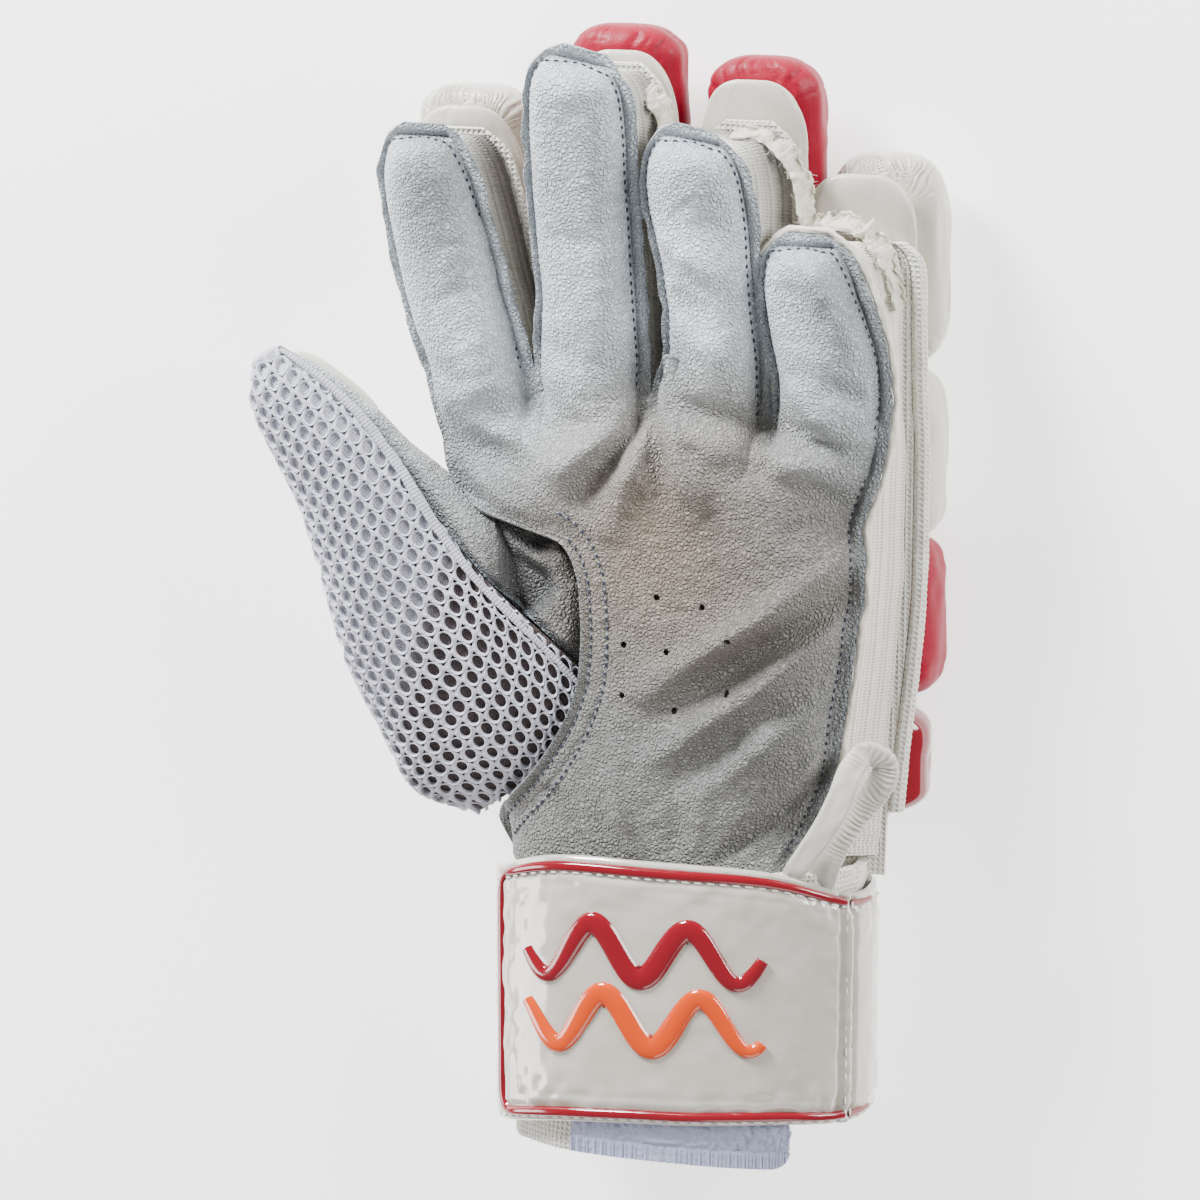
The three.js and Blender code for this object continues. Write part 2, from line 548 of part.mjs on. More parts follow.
// Padded rolls and pads. A section is a squared oval, flattened where it would go through its lower level.
const ROLL_RING = 10;
const ROLL_SQUARENESS = 2.8;
const ROLL_SINK = 2; // how much of the round is pressed flat on the floor
function pad(name, { centre, halfWidth, from, to, low, high, material, heel = 1, toe = 1, sink = ROLL_SINK }) {
  const stations = [0, 0.06, 0.2, 0.5, 0.8, 0.94, 1];
  const rings = stations.map((s) => {
    const y = mix(from, to, s);
    const [edge, round] = s < 0.5 ? [s / 0.3, heel] : [(1 - s) / 0.3, toe];
    const full = (1 - (1 - clamp(edge, 0, 1)) ** 2.6) ** 0.45;
    const size = Math.max(mix(1, full, round), 0.12);
    const middle = centre(y);
    return Array.from({ length: ROLL_RING }, (_, k) => {
      const angle = (2 * Math.PI * (k + 0.5)) / ROLL_RING;
      const [c, n] = [Math.cos(angle), Math.sin(angle)];
      const x = middle + halfWidth * mix(1, size, 0.8) * Math.sign(c) * Math.abs(c) ** (2 / ROLL_SQUARENESS);
      const half = (high - low) / 2 + sink / 2;
      const z = high - half + half * mix(1, size, 0.9) * Math.sign(n) * Math.abs(n) ** (2 / ROLL_SQUARENESS);
      return V(x, y, clamp(z, low, high) + lift(y));
    });
  });
  addLoft(name, rings.reverse(), material);
}

const SEGMENT_GAP = 0.6;
const PAD_HALF_WIDTH = CLOTH_SPACING / 2 - 0.6;
const ROLL_HALF_WIDTH = ROLL_SPACING / 2 - 0.8;
const HAND_PAD_ENDS = [-0.055, 0.297, 0.63]; // ends of the two rows of hand pads, as shares of PALM_LENGTH
const PLATE_START = 0.645;
const PLATE_END = 0.9;
const HAND_PAD_TAPER = 0.93;

const rollRootX = (f) => PALM_MIDDLE + ROLL_SHIFT + (f - (STALLS.length - 1) / 2) * ROLL_SPACING;
const leaning = (root, tip, f) => (y) => mix(root, tip, smoothstep((y - ROOT_Y) / STALLS[f].behind.length) * 0.4
  + 0.6 * clamp((y - ROOT_Y) / STALLS[f].behind.length, 0, 1));

function buildFingerPads() {
  const rollColours = [CREAM, RED, RED, CREAM];
  STALLS.forEach(({ name, behind }, f) => {
    const start = ROOT_Y - HAND_PAD_ENDS[0] * PALM_LENGTH + SEGMENT_GAP;
    const clothX = backRootX(f + 0.5);
    pad(`${name}_pad`, {
      centre: leaning(clothX, clothX + behind.lean, f), halfWidth: PAD_HALF_WIDTH, from: start, to: ROOT_Y + behind.padReach,
      low: ROLL_HEIGHT + GAP, high: ROLL_HEIGHT + GAP / 2 + PAD_HEIGHT, material: CREAM, heel: 0.3, sink: 0,
    });
    const centre = leaning(rollRootX(f), rollRootX(f) + behind.rollLean, f);
    const cuts = behind.rolls.map((share) => ROOT_Y + share * behind.rollReach);
    cuts.slice(0, -1).forEach((cut, i) => {
      pad(`${name}_roll_${i + 1}`, {
        centre, halfWidth: ROLL_HALF_WIDTH, from: Math.max(cut, start) + (i ? SEGMENT_GAP : 0), to: cuts[i + 1],
        low: 0, high: ROLL_HEIGHT, material: rollColours[f],
      });
    });
  });
}

function buildHandPads() {
  const top = BACK_TOP - BACK_WALL - GAP;
  STALLS.forEach(({ name }, f) => {
    const narrow = (y) => mix(1, HAND_PAD_TAPER, smoothstep((ROOT_Y - y) / PALM_LENGTH / 0.6));
    const centre = (y) => rollRootX(STALLS.length - 1) + ROLL_HALF_WIDTH
      - (ROLL_HALF_WIDTH + (STALLS.length - 1 - f) * ROLL_SPACING) * narrow(y);
    HAND_PAD_ENDS.slice(0, -1).forEach((start, i) => {
      const end = HAND_PAD_ENDS[i + 1];
      const from = ROOT_Y - end * PALM_LENGTH + SEGMENT_GAP;
      pad(`hand_pad_${name}_${i === 0 ? "upper" : "lower"}`, {
        centre, halfWidth: (ROLL_SPACING * narrow(from) - SEGMENT_GAP) / 2, from, to: ROOT_Y - start * PALM_LENGTH,
        low: 0, high: top, material: i === 0 ? CREAM : RED, heel: 0.6, toe: 0.6,
      });
    });
  });
  const right = rollRootX(STALLS.length - 1) + ROLL_HALF_WIDTH - 2.4;
  const left = backEdge(0, PLATE_END) - 1;
  pad("back_plate", {
    centre: () => mix(left, right, 0.5), halfWidth: (right - left) / 2, from: ROOT_Y - PLATE_END * PALM_LENGTH,
    to: ROOT_Y - PLATE_START * PALM_LENGTH, low: 0, high: top, material: GLOSS_RED, heel: 0.5, toe: 0.5,
  });
}

// Rolled binding along the little finger side, outside the knit
const BINDING_RADIUS = 1.5;
function buildBinding() {
  const last = STALLS.length - 1;
  const alongStall = [0.9, 0.7, 0.45, 0.2].map((t) => stallPoint(backSheet, last, 1, t));
  const alongPalm = [0.04, 0.2, 0.36, 0.52, 0.68, 0.84].map((down) => backPalmPoint(1, down, rootYs.at(-1)));
  const rings = [...alongStall, ...alongPalm].map((edge) => {
    const middle = V(edge.x + 2.4 * GAP + BINDING_RADIUS, edge.y, BACK_TOP - BACK_WALL / 2 + lift(edge.y));
    return Array.from({ length: 6 }, (_, k) => {
      const angle = (2 * Math.PI * k) / 6;
      return middle.clone().add(V(BINDING_RADIUS * Math.cos(angle), 0, BINDING_RADIUS * Math.sin(angle)));
    });
  });
  addLoft("side_binding", rings, KNIT);
}

// Thumb stall: a tube of two panels, mesh on the outer side and leather on the finger side
const thumbTable = (key, part) => THUMB.map((row, i) => [i / (THUMB.length - 1), part === undefined ? row[key] : row[key][part]]);
const thumbAt = (s, key, part) => reading(thumbTable(key, part), s, 1);

// around runs from 0 on the finger side over the front to 0.5 on the outer side and back behind to 1.
function thumbPoint(s, turn) {
  const around = turn < 0 ? turn + 1 : turn;
  const a = V(thumbAt(s, "a", 0) * PALM_WIDTH, thumbAt(s, "a", 1) * PALM_LENGTH, 0);
  const b = V(thumbAt(s, "b", 0) * PALM_WIDTH, thumbAt(s, "b", 1) * PALM_LENGTH, 0);
  const front = around <= 0.5;
  const across = front ? around * 2 : 2 - around * 2;
  const angle = Math.PI * across;
  const share = (1 - Math.cos(angle)) / 2;
  const bulge = Math.sin(angle) ** 0.85;
  const p = a.lerp(b, share);
  const squareness = mix(share < 0.5 ? 0.42 : 0.95, 1.1, smoothstep(s * 5));
  if (front) p.x += PALM_WIDTH * thumbAt(s, "push") * Math.sin(Math.PI * share) ** squareness;
  const reach = front ? THUMB_RISE * thumbAt(s, "rise") : -THUMB_DEPTH * thumbAt(s, "depth");
  return V(INDEX_EDGE + p.x, ROOT_Y + p.y, THUMB_MIDDLE + THUMB_RISE * thumbAt(s, "middle") + reach * bulge);
}

const THUMB_STATIONS = 14;
const PANEL_GAP = 0.6; // between the edges of the two panels
const GIRTH_AT_ROOT = 60;
const GIRTH_AT_TIP = 12;
function addThumbPanel(name, start, end, columns, wall, material) {
  const rows = steps(THUMB_STATIONS).map((s) => steps(columns).map((c) => thumbPoint(s, mix(start(s), end(s), c))));
  addSheet(name, rows.flat(), gridQuads(rows.length, columns + 1).map((q) => q.slice().reverse()), wall, material);
}

function buildThumb() {
  const seam = (s) => thumbAt(s, "seam") / 2 + 0.04;
  const slack = (s) => PANEL_GAP / mix(GIRTH_AT_ROOT, GIRTH_AT_TIP, s);
  addThumbPanel("thumb_mesh", (s) => seam(s) + slack(s), () => THUMB_BACK_SEAM, 9, MESH_WALL, MESH);
  addThumbPanel("thumb_leather", (s) => THUMB_BACK_SEAM - 1 + slack(s) * 0.8, seam, 9, LEATHER_WALL, LEATHER);
}

// Padded thumb guard behind the stall, in two segments
function buildThumbGuard() {
  const cuts = [0.3, 0.62, 0.97];
  ["base", "tip"].forEach((part, i) => {
    const rings = [0, 0.06, 0.2, 0.5, 0.8, 0.94, 1].map((step) => {
      const s = mix(cuts[i] + 0.008, cuts[i + 1], step);
      const size = Math.max(1 - Math.abs(2 * step - 1) ** 4, 0.12) ** 0.5;
      const a = thumbPoint(s, 0);
      const b = thumbPoint(s, 0.5);
      const middle = a.clone().lerp(b, 0.5);
      const across = b.clone().sub(a).setZ(0);
      const half = across.length() * 0.36 * mix(1, size, 0.8);
      const top = thumbPoint(s, 0.75).z - GAP;
      const depth = Math.min(THUMB_DEPTH, top - 1);
      across.normalize();
      return Array.from({ length: ROLL_RING }, (_, k) => {
        const angle = (2 * Math.PI * (k + 0.5)) / ROLL_RING;
        const [c, n] = [Math.cos(angle), Math.sin(angle)];
        const p = middle.clone().addScaledVector(across, half * Math.sign(c) * Math.abs(c) ** 0.75);
        p.z = top - (depth / 2) + (depth / 2) * size * Math.sign(n) * Math.abs(n) ** 0.75;
        return p;
      });
    });
    addLoft(`thumb_roll_${part}`, rings, CREAM);
  });
}

// Cuff, strap and what is on it. Angles run from the little finger side over the front.
const WRIST_Y = ROOT_Y - PALM_LENGTH - GAP - 0.3; // top of the cuff
const degrees = (d) => (d * Math.PI) / 180;
const STRAP_START = degrees(-158);
const STRAP_END = degrees(176);
const WRIST_EDGE_Y = ROOT_Y - PALM_LENGTH;
const belowFront = (angle) => clamp(1 - Math.sin(angle) ** 3, 0, 1) ** 2; // 0 in front, 1 at the sides and behind
const strapTop = (angle) => WRIST_EDGE_Y + STRAP_TOP_LAP - STRAP_DROP * belowFront(angle);
const strapBottom = (angle) => WRIST_EDGE_Y + STRAP_TOP_LAP - STRAP_HEIGHT + STRAP_SLANT * Math.cos(angle)
  - STRAP_SPREAD * belowFront(angle);
const STRAP_GROW = TAPE_WALL + 3 * GAP + STRAP_WALL;

const cuffBottom = (angle) => WRIST_Y - CUFF_LENGTH + CUFF_RISE * smoothstep((Math.cos(angle) + 0.1) / 0.6);

function buildCuff() {
  const count = 24;
  const rings = [0, 0.5, 1].map((share) => Array.from({ length: count }, (_, k) => {
    const angle = (2 * Math.PI * k) / count;
    return wristPoint(angle, -CUFF_WAIST * Math.sin(Math.PI * share), mix(WRIST_Y, cuffBottom(angle), share));
  }));
  addSheet("cuff", rings.flat(), gridQuads(rings.length, count, true), CUFF_WALL, TOWEL);
}

// The strap's facets: along runs from 0 at its root behind to 1 at its free end.
const STRAP_FACETS = 34;
const STRAP_LENGTH = 245;
const STRAP_ALONGS = [...steps(STRAP_FACETS).map((s) => s * 0.965), 0.982, 0.993, 1];

// across runs from 0 at the strap's top edge to 1 at its bottom edge.
function strapPoint(along, across, above) {
  const facet = STRAP_ALONGS.findLastIndex((start) => start <= along + 1e-9);
  const from = STRAP_ALONGS[clamp(facet, 0, STRAP_ALONGS.length - 2)];
  const to = STRAP_ALONGS[clamp(facet, 0, STRAP_ALONGS.length - 2) + 1];
  const at = (place) => {
    const angle = mix(STRAP_START, STRAP_END, place);
    const left = clamp((1 - place) * STRAP_LENGTH, 0, STRAP_CORNER);
    const corner = STRAP_CORNER - Math.sqrt(STRAP_CORNER ** 2 - (STRAP_CORNER - left) ** 2);
    return wristPoint(angle, STRAP_GROW + above, mix(strapTop(angle) - corner, strapBottom(angle) + corner, across));
  };
  return at(from).lerp(at(to), (along - from) / (to - from));
}

function buildStrap() {
  const rows = [0, 0.5, 1].map((across) => STRAP_ALONGS.map((along) => strapPoint(along, across, 0)));
  addSheet("strap", rows.flat(), gridQuads(rows.length, STRAP_ALONGS.length), STRAP_WALL, GLOSS_WHITE);
}

// A raised strip on the strap's face, through places given as [along, across].
function addStrip(name, route, width, height, material) {
  const size = [STRAP_LENGTH, STRAP_HEIGHT];
  const direction = (from, to) => new THREE.Vector2((to[0] - from[0]) * size[0], (to[1] - from[1]) * size[1]).normalize();
  const rows = [-0.5, 0.5].map((side) => route.map((place, i) => {
    const into = direction(route[Math.max(i - 1, 0)], route[Math.max(i, 1)]);
    const out = direction(route[Math.min(i, route.length - 2)], route[Math.min(i + 1, route.length - 1)]);
    const way = into.clone().add(out).normalize();
    const reach = (side * width) / Math.max(way.dot(into), 0.5);
    return strapPoint(place[0] - (reach * way.y) / size[0], place[1] + (reach * way.x) / size[1], 1.5 * GAP + height);
  }));
  addSheet(name, rows.flat(), gridQuads(2, route.length), height, material);
}

function buildStrapTrim() {
  const inset = PIPING_INSET / STRAP_HEIGHT;
  const end = 1 - PIPING_INSET / STRAP_LENGTH;
  const facets = STRAP_ALONGS.filter((along) => along > 0.42 && along < end - 0.012);
  const corner = (across, up) => [[end - 0.008, across + up * 0.02], [end - 0.001, across + up * 0.07]];
  const route = [
    ...facets.map((along) => [along, inset]), ...corner(inset, 1), [end, 0.3], [end, 0.5], [end, 0.7],
    ...corner(1 - inset, -1).reverse(), ...facets.reverse().map((along) => [along, 1 - inset]),
  ];
  addStrip("strap_piping", route, PIPING_WIDTH, PIPING_HEIGHT, GLOSS_RED);
  const wave = (middle, shift) => steps(WAVE_STEPS).map((s) => [
    mix(WAVE_FROM, WAVE_TO, s), middle + (WAVE_SWING / STRAP_HEIGHT) * Math.sin(2 * Math.PI * (WAVE_COUNT * s + shift)),
  ]);
  addStrip("strap_wave_red", wave(0.34, 0), WAVE_WIDTH, WAVE_HEIGHT, GLOSS_RED);
  addStrip("strap_wave_orange", wave(0.6, 0.12), WAVE_WIDTH, WAVE_HEIGHT, ORANGE);
}

const TAPE_FROM = degrees(50);
const TAPE_TO = degrees(116);
function buildTape() {
  const bottom = ROOT_Y - PALM_LENGTH + STRAP_TOP_LAP - STRAP_HEIGHT - TAPE_DROP;
  const angles = steps(8).map((s) => mix(TAPE_FROM, TAPE_TO, s));
  const rows = [WRIST_Y - 4, mix(WRIST_Y, bottom, 0.5), bottom].map((y) => angles.map((angle) => wristPoint(angle, TAPE_WALL + 1.35 * GAP, y)));
  addSheet("fastening_tape", rows.flat(), gridQuads(rows.length, angles.length), TAPE_WALL, TAPE);
}

// Pull loop: a folded strip that lies flat over the little finger side. Its route runs up the smooth arm from the strap,
// round the top and down the gathered arm. Rows are place and width, as shares of LOOP_REACH, about the wrist's corner.
const LOOP_REACH = 32.5;
const LOOP_WALL = 2.2;
const LOOP_ROUTE = [
  [-0.205, -0.065, 0.05, 0.13], [-0.13, 0.045, 0.08, 0.15], [0.034, 0.302, 0.08, 0.17], [0.135, 0.517, 0.045, 0.18], [0.2, 0.726, -0.005, 0.17],
  [0.3, 0.84, -0.07, 0.16], [0.42, 0.765, -0.125, 0.17], [0.395, 0.62, -0.15, 0.19], [0.3, 0.483, -0.14, 0.2], [0.209, 0.372, -0.115, 0.21],
  [0.12, 0.24, -0.08, 0.21], [0.045, 0.1, -0.055, 0.22], [-0.005, -0.03, -0.04, 0.21],
];
function buildPullLoop() {
  const anchor = V(CUFF_CENTRE_X + CUFF_HALF_WIDTH * 0.9, WRIST_Y + STRAP_TOP_LAP + 5 * GAP, CUFF_CENTRE_Z + CUFF_HALF_DEPTH * 0.815);
  const curve = new THREE.CatmullRomCurve3(LOOP_ROUTE.map(([x, y, z]) => anchor.clone().add(V(x, y, z).multiplyScalar(LOOP_REACH))));
  const rings = steps(20).map((s) => {
    const p = curve.getPoint(s);
    const along = curve.getTangent(s);
    const wide = V(-along.y, along.x, 0).normalize();
    const thin = along.clone().cross(wide);
    const row = s * (LOOP_ROUTE.length - 1);
    const before = LOOP_ROUTE[Math.min(Math.floor(row), LOOP_ROUTE.length - 2)];
    const after = LOOP_ROUTE[Math.min(Math.floor(row) + 1, LOOP_ROUTE.length - 1)];
    const half = mix(before[3], after[3], row - Math.min(Math.floor(row), LOOP_ROUTE.length - 2)) * LOOP_REACH / 2;
    return Array.from({ length: 6 }, (_, k) => {
      const angle = (2 * Math.PI * k) / 6;
      return p.clone().addScaledVector(wide, half * Math.cos(angle)).addScaledVector(thin, (LOOP_WALL / 2) * Math.sin(angle));
    });
  });
  addLoft("pull_loop", rings, CREAM);
}

punchVents(buildPalmLeather());
buildBackCloth();
STALLS.slice(0, -1).forEach((_, f) => buildFourchette(f));
buildSideWalls();
buildFingerPads();
buildHandPads();
buildBinding();
buildThumb();
buildThumbGuard();
buildCuff();
buildStrap();
buildStrapTrim();
buildTape();
buildPullLoop();

// The origin is on the floor under the middle of the glove.
const reach = new THREE.Box3().setFromObject(glove, true);
const middle = reach.getCenter(V(0, 0, 0));
glove.position.set(-middle.x, -middle.y, -reach.min.z);

export default glove;
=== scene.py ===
# %% [markdown]
# A cricket batting glove for the left hand, lying on its padded back with the palm up. Every piece of
# cloth, leather and padding is worked out from a few sizes and short tables in millimetres. X runs
# towards the little finger, Y towards the fingertips and Z up, out of the palm.
# %% Start
import math
import bpy
import numpy as np
from mathutils import Matrix, Vector
from mathutils.kdtree import KDTree
from math import pi, radians


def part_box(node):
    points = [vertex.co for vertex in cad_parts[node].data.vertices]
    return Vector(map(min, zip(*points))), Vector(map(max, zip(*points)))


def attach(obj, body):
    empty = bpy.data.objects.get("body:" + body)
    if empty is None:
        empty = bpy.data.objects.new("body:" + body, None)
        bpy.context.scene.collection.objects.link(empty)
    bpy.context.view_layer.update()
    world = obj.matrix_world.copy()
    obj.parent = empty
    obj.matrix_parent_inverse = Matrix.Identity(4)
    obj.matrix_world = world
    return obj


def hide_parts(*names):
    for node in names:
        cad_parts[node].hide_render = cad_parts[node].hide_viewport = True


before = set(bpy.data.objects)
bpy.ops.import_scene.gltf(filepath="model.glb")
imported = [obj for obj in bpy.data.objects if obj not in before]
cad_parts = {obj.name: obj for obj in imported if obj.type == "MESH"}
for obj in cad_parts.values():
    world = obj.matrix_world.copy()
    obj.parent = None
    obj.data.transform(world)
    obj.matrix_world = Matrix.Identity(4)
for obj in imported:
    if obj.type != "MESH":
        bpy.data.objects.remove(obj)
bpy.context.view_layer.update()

cuff_low, cuff_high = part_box("cuff")
CUFF_CENTRE_X = 20.0
WRIST_Y = -65.65
OFFSET_X = (cuff_low[0] + cuff_high[0]) * 500 - CUFF_CENTRE_X
OFFSET = np.array([OFFSET_X, cuff_high[1] * 1000 - WRIST_Y, 0.0])
print("the tables' origin lies at", OFFSET, "mm in the frame")

# %% [markdown]
# Small tools shared by all pieces. reading gives a smooth value between the rows of a table, noise
# gives soft irregularity from a fixed seed, and sheet turns a grid of points into cloth with a real
# thickness.
# %% Tools
def smooth(t):
    c = np.clip(t, 0, 1)
    return c * c * (3 - 2 * c)


def mix(a, b, t):
    return a + (b - a) * t


def reading(rows, t, column):
    table = np.array(rows, float)
    x, y = table[:, 0], table[:, column]
    slope = np.empty_like(y)
    slope[1:-1] = (y[2:] - y[:-2]) / (x[2:] - x[:-2])
    slope[0] = (y[1] - y[0]) / (x[1] - x[0])
    slope[-1] = (y[-1] - y[-2]) / (x[-1] - x[-2])
    i = np.clip(np.searchsorted(x, t, side="right") - 1, 0, len(x) - 2)
    span = x[i + 1] - x[i]
    s = np.clip((t - x[i]) / span, 0, 1)
    return ((2 * s**3 - 3 * s**2 + 1) * y[i] + (s**3 - 2 * s**2 + s) * slope[i] * span
            + (3 * s**2 - 2 * s**3) * y[i + 1] + (s**3 - s**2) * slope[i + 1] * span)


def scatter(ix, iy, seed):
    v = np.sin(ix * 127.1 + iy * 311.7 + seed * 74.7) * 43758.5453
    return v - np.floor(v)


def noise(x, y, seed=0):
    ix, iy = np.floor(x), np.floor(y)
    fx, fy = smooth(x - ix), smooth(y - iy)
    low = mix(scatter(ix, iy, seed), scatter(ix + 1, iy, seed), fx)
    high = mix(scatter(ix, iy + 1, seed), scatter(ix + 1, iy + 1, seed), fx)
    return 2 * mix(low, high, fy) - 1


LIFT_HEIGHT = 10.0
LIFT_START = 30.0
LIFT_LENGTH = 105.0


def lift(y):
    return LIFT_HEIGHT * np.maximum(0, (y - LIFT_START) / LIFT_LENGTH) ** 2


def hill(away, width):
    return np.exp(-((away / width) ** 2))


def unit(way):
    return way / np.linalg.norm(way, axis=-1, keepdims=True)


def turns(count):
    return (np.arange(count) * 2 * pi / count)[None, :]


def squared(wave, power):
    return np.sign(wave) * np.abs(wave) ** power


def path_lengths(path):
    return np.append(0, np.cumsum(np.linalg.norm(np.diff(path, axis=0), axis=1)))


def grid_quads(rows, columns, closed=False, flip=False):
    r = np.arange(rows - 1)[:, None] * columns
    c = np.arange(columns if closed else columns - 1)[None, :]
    n = (c + 1) % columns
    quads = np.stack([r + c, r + n, r + columns + n, r + columns + c], -1).reshape(-1, 4)
    return quads[:, ::-1] if flip else quads


def index_quads(index):
    return np.stack([index[:-1, :-1], index[:-1, 1:], index[1:, 1:], index[1:, :-1]], -1).reshape(-1, 4)


def vertex_normals(points, quads):
    n = np.cross(points[quads[:, 2]] - points[quads[:, 0]], points[quads[:, 3]] - points[quads[:, 1]])
    total = np.zeros_like(points)
    for k in range(4):
        np.add.at(total, quads[:, k], n)
    return total / np.maximum(np.linalg.norm(total, axis=1), 1e-9)[:, None]


def facing_up(points, quads):
    upward = vertex_normals(points.reshape(-1, 3), quads)[:, 2].mean() >= 0
    return quads if upward else quads[:, ::-1]


def make(name, points, faces, material, facts=None, sharp=50):
    mesh = bpy.data.meshes.new(name)
    mesh.from_pydata(((points + OFFSET) * 0.001).tolist(), [], [list(map(int, f)) for f in faces])
    for key, values in (facts or {}).items():
        fact = mesh.attributes.new(key, "FLOAT", "POINT")
        fact.data.foreach_set("value", np.asarray(values, np.float32))
    mesh.shade_smooth()
    mesh.set_sharp_from_angle(angle=radians(sharp))
    mesh.materials.append(material)
    piece = bpy.data.objects.new(name, mesh)
    bpy.context.collection.objects.link(piece)
    return piece


def sheet(name, points, quads, wall, material, facts=None, level=False):
    normals = vertex_normals(points, quads)
    if level:
        normals[:, 2] = 0
        normals /= np.maximum(np.linalg.norm(normals, axis=1), 1e-9)[:, None]
    count = len(points)
    inner = points - normals * np.broadcast_to(wall, (count,))[:, None]
    edges = np.concatenate([quads[:, [k, (k + 1) % 4]] for k in range(4)])
    keys = edges[:, 0] * count + edges[:, 1]
    rim = edges[~np.isin(keys, edges[:, 1] * count + edges[:, 0])]
    rims = np.stack([rim[:, 1], rim[:, 0], rim[:, 0] + count, rim[:, 1] + count], -1)
    faces = np.concatenate([quads, quads[:, ::-1] + count, rims])
    doubled = {key: np.concatenate([v, v]) for key, v in (facts or {}).items()}
    return make(name, np.concatenate([points, inner]), faces, material, doubled)


def loft(name, rings, material, facts=None, flip=False):
    rows, columns = rings.shape[:2]
    points = np.concatenate([rings.reshape(-1, 3), rings[0].mean(0)[None], rings[-1].mean(0)[None]])
    faces = [list(q) for q in grid_quads(rows, columns, True)]
    start, end = rows * columns, rows * columns + 1
    for i in range(columns):
        n = (i + 1) % columns
        faces += [[start, n, i], [end, start - columns + i, start - columns + n]]
    faces = [f[::-1] for f in faces] if flip else faces
    if facts:
        facts = {k: np.append(v.ravel(), [v[0].mean(), v[-1].mean()]) for k, v in facts.items()}
    return make(name, points, faces, material, facts)


def curve_through(points, count):
    p = np.array(points, float)
    ends = np.vstack([2 * p[0] - p[1], p, 2 * p[-1] - p[-2]])
    fine = []
    for i in range(len(p) - 1):
        a, b, c, d = ends[i:i + 4]
        t = np.linspace(0, 1, 24, endpoint=False)[:, None]
        bend, twist = 2 * a - 5 * b + 4 * c - d, 3 * b - a - 3 * c + d
        fine.append(0.5 * (2 * b + (c - a) * t + bend * t**2 + twist * t**3))
    return even(np.vstack(fine + [p[-1:]]), count)


def even(path, count):
    far = path_lengths(path)
    at = np.linspace(0, far[-1], count)
    return np.stack([np.interp(at, far, path[:, k]) for k in range(path.shape[1])], -1)

# %% [markdown]
# Materials are built from a few shared groups of nodes. The grain group gives the pebbled surface of
# the sheep leather, the weave group the ribs of knitted and woven cloth, and the soil group the slight
# greying of use.
# %% Groups of nodes shared by the materials
def new_group(name, inputs, outputs):
    group = bpy.data.node_groups.new(name, "ShaderNodeTree")
    for label, kind, value in inputs:
        socket = group.interface.new_socket(label, in_out="INPUT", socket_type=kind)
        socket.default_value = value
    for label, kind in outputs:
        group.interface.new_socket(label, in_out="OUTPUT", socket_type=kind)
    return group, group.nodes.new("NodeGroupInput"), group.nodes.new("NodeGroupOutput")


def add(tree, kind, links=None, **settings):
    node = tree.nodes.new(kind)
    for key, value in settings.items():
        setattr(node, key, value)
    for key, value in (links or {}).items():
        socket = node.inputs[key]
        if isinstance(value, bpy.types.NodeSocket):
            tree.links.new(value, socket)
        else:
            socket.default_value = value
    return node


def calculate(tree, operation, first, second):
    return add(tree, "ShaderNodeMath", {0: first, 1: second}, operation=operation).outputs[0]


def ranged(tree, value, low, high, start, end, **settings):
    limits = {0: value, 1: low, 2: high, 3: start, 4: end}
    return add(tree, "ShaderNodeMapRange", limits, **settings).outputs[0]


def grain_group():
    group, given, out = new_group("leather_grain",
                                  [("Pebble Size", "NodeSocketFloat", 0.9),
                                   ("Crease", "NodeSocketFloat", 0.4)],
                                  [("Height", "NodeSocketFloat")])
    place = add(group, "ShaderNodeTexCoord").outputs["Object"]
    scale = calculate(group, "DIVIDE", 1000.0, given.outputs["Pebble Size"])
    warp = add(group, "ShaderNodeTexNoise",
               {"Vector": place, "Scale": 420.0, "Detail": 2.0}).outputs["Color"]
    bent = add(group, "ShaderNodeVectorMath", {0: warp, 3: 0.0009}, operation="SCALE").outputs[0]
    moved = add(group, "ShaderNodeVectorMath", {0: place, 1: bent}, operation="ADD").outputs[0]
    edges = add(group, "ShaderNodeTexVoronoi", {"Vector": moved, "Scale": scale},
                feature="DISTANCE_TO_EDGE").outputs["Distance"]
    crease = add(group, "ShaderNodeTexNoise",
                 {"Vector": place, "Scale": 430.0, "Detail": 3.0, "Roughness": 0.5}).outputs["Fac"]
    pebble = ranged(group, edges, 0.0, 0.38, 0.0, 1.0, interpolation_type="SMOOTHSTEP")
    creased = calculate(group, "MULTIPLY", crease, given.outputs["Crease"])
    height = calculate(group, "ADD", pebble, creased)
    group.links.new(height, out.inputs["Height"])
    return group


def weave_group():
    group, given, out = new_group("weave",
                                  [("Across", "NodeSocketFloat", 0.0), ("Along", "NodeSocketFloat", 0.0),
                                   ("Fuzz", "NodeSocketFloat", 0.3)],
                                  [("Height", "NodeSocketFloat")])
    place = add(group, "ShaderNodeTexCoord").outputs["Object"]
    waves = []
    for label in ("Across", "Along"):
        turn = calculate(group, "MULTIPLY", given.outputs[label], 2 * pi)
        waves.append(add(group, "ShaderNodeMath", {0: turn}, operation="SINE").outputs[0])
    ridges = calculate(group, "MAXIMUM", waves[0], waves[1])
    fuzz = add(group, "ShaderNodeTexNoise",
               {"Vector": place, "Scale": 900.0, "Detail": 3.0}).outputs["Fac"]
    fuzzed = calculate(group, "MULTIPLY", fuzz, given.outputs["Fuzz"])
    height = calculate(group, "ADD", ridges, fuzzed)
    group.links.new(height, out.inputs["Height"])
    return group


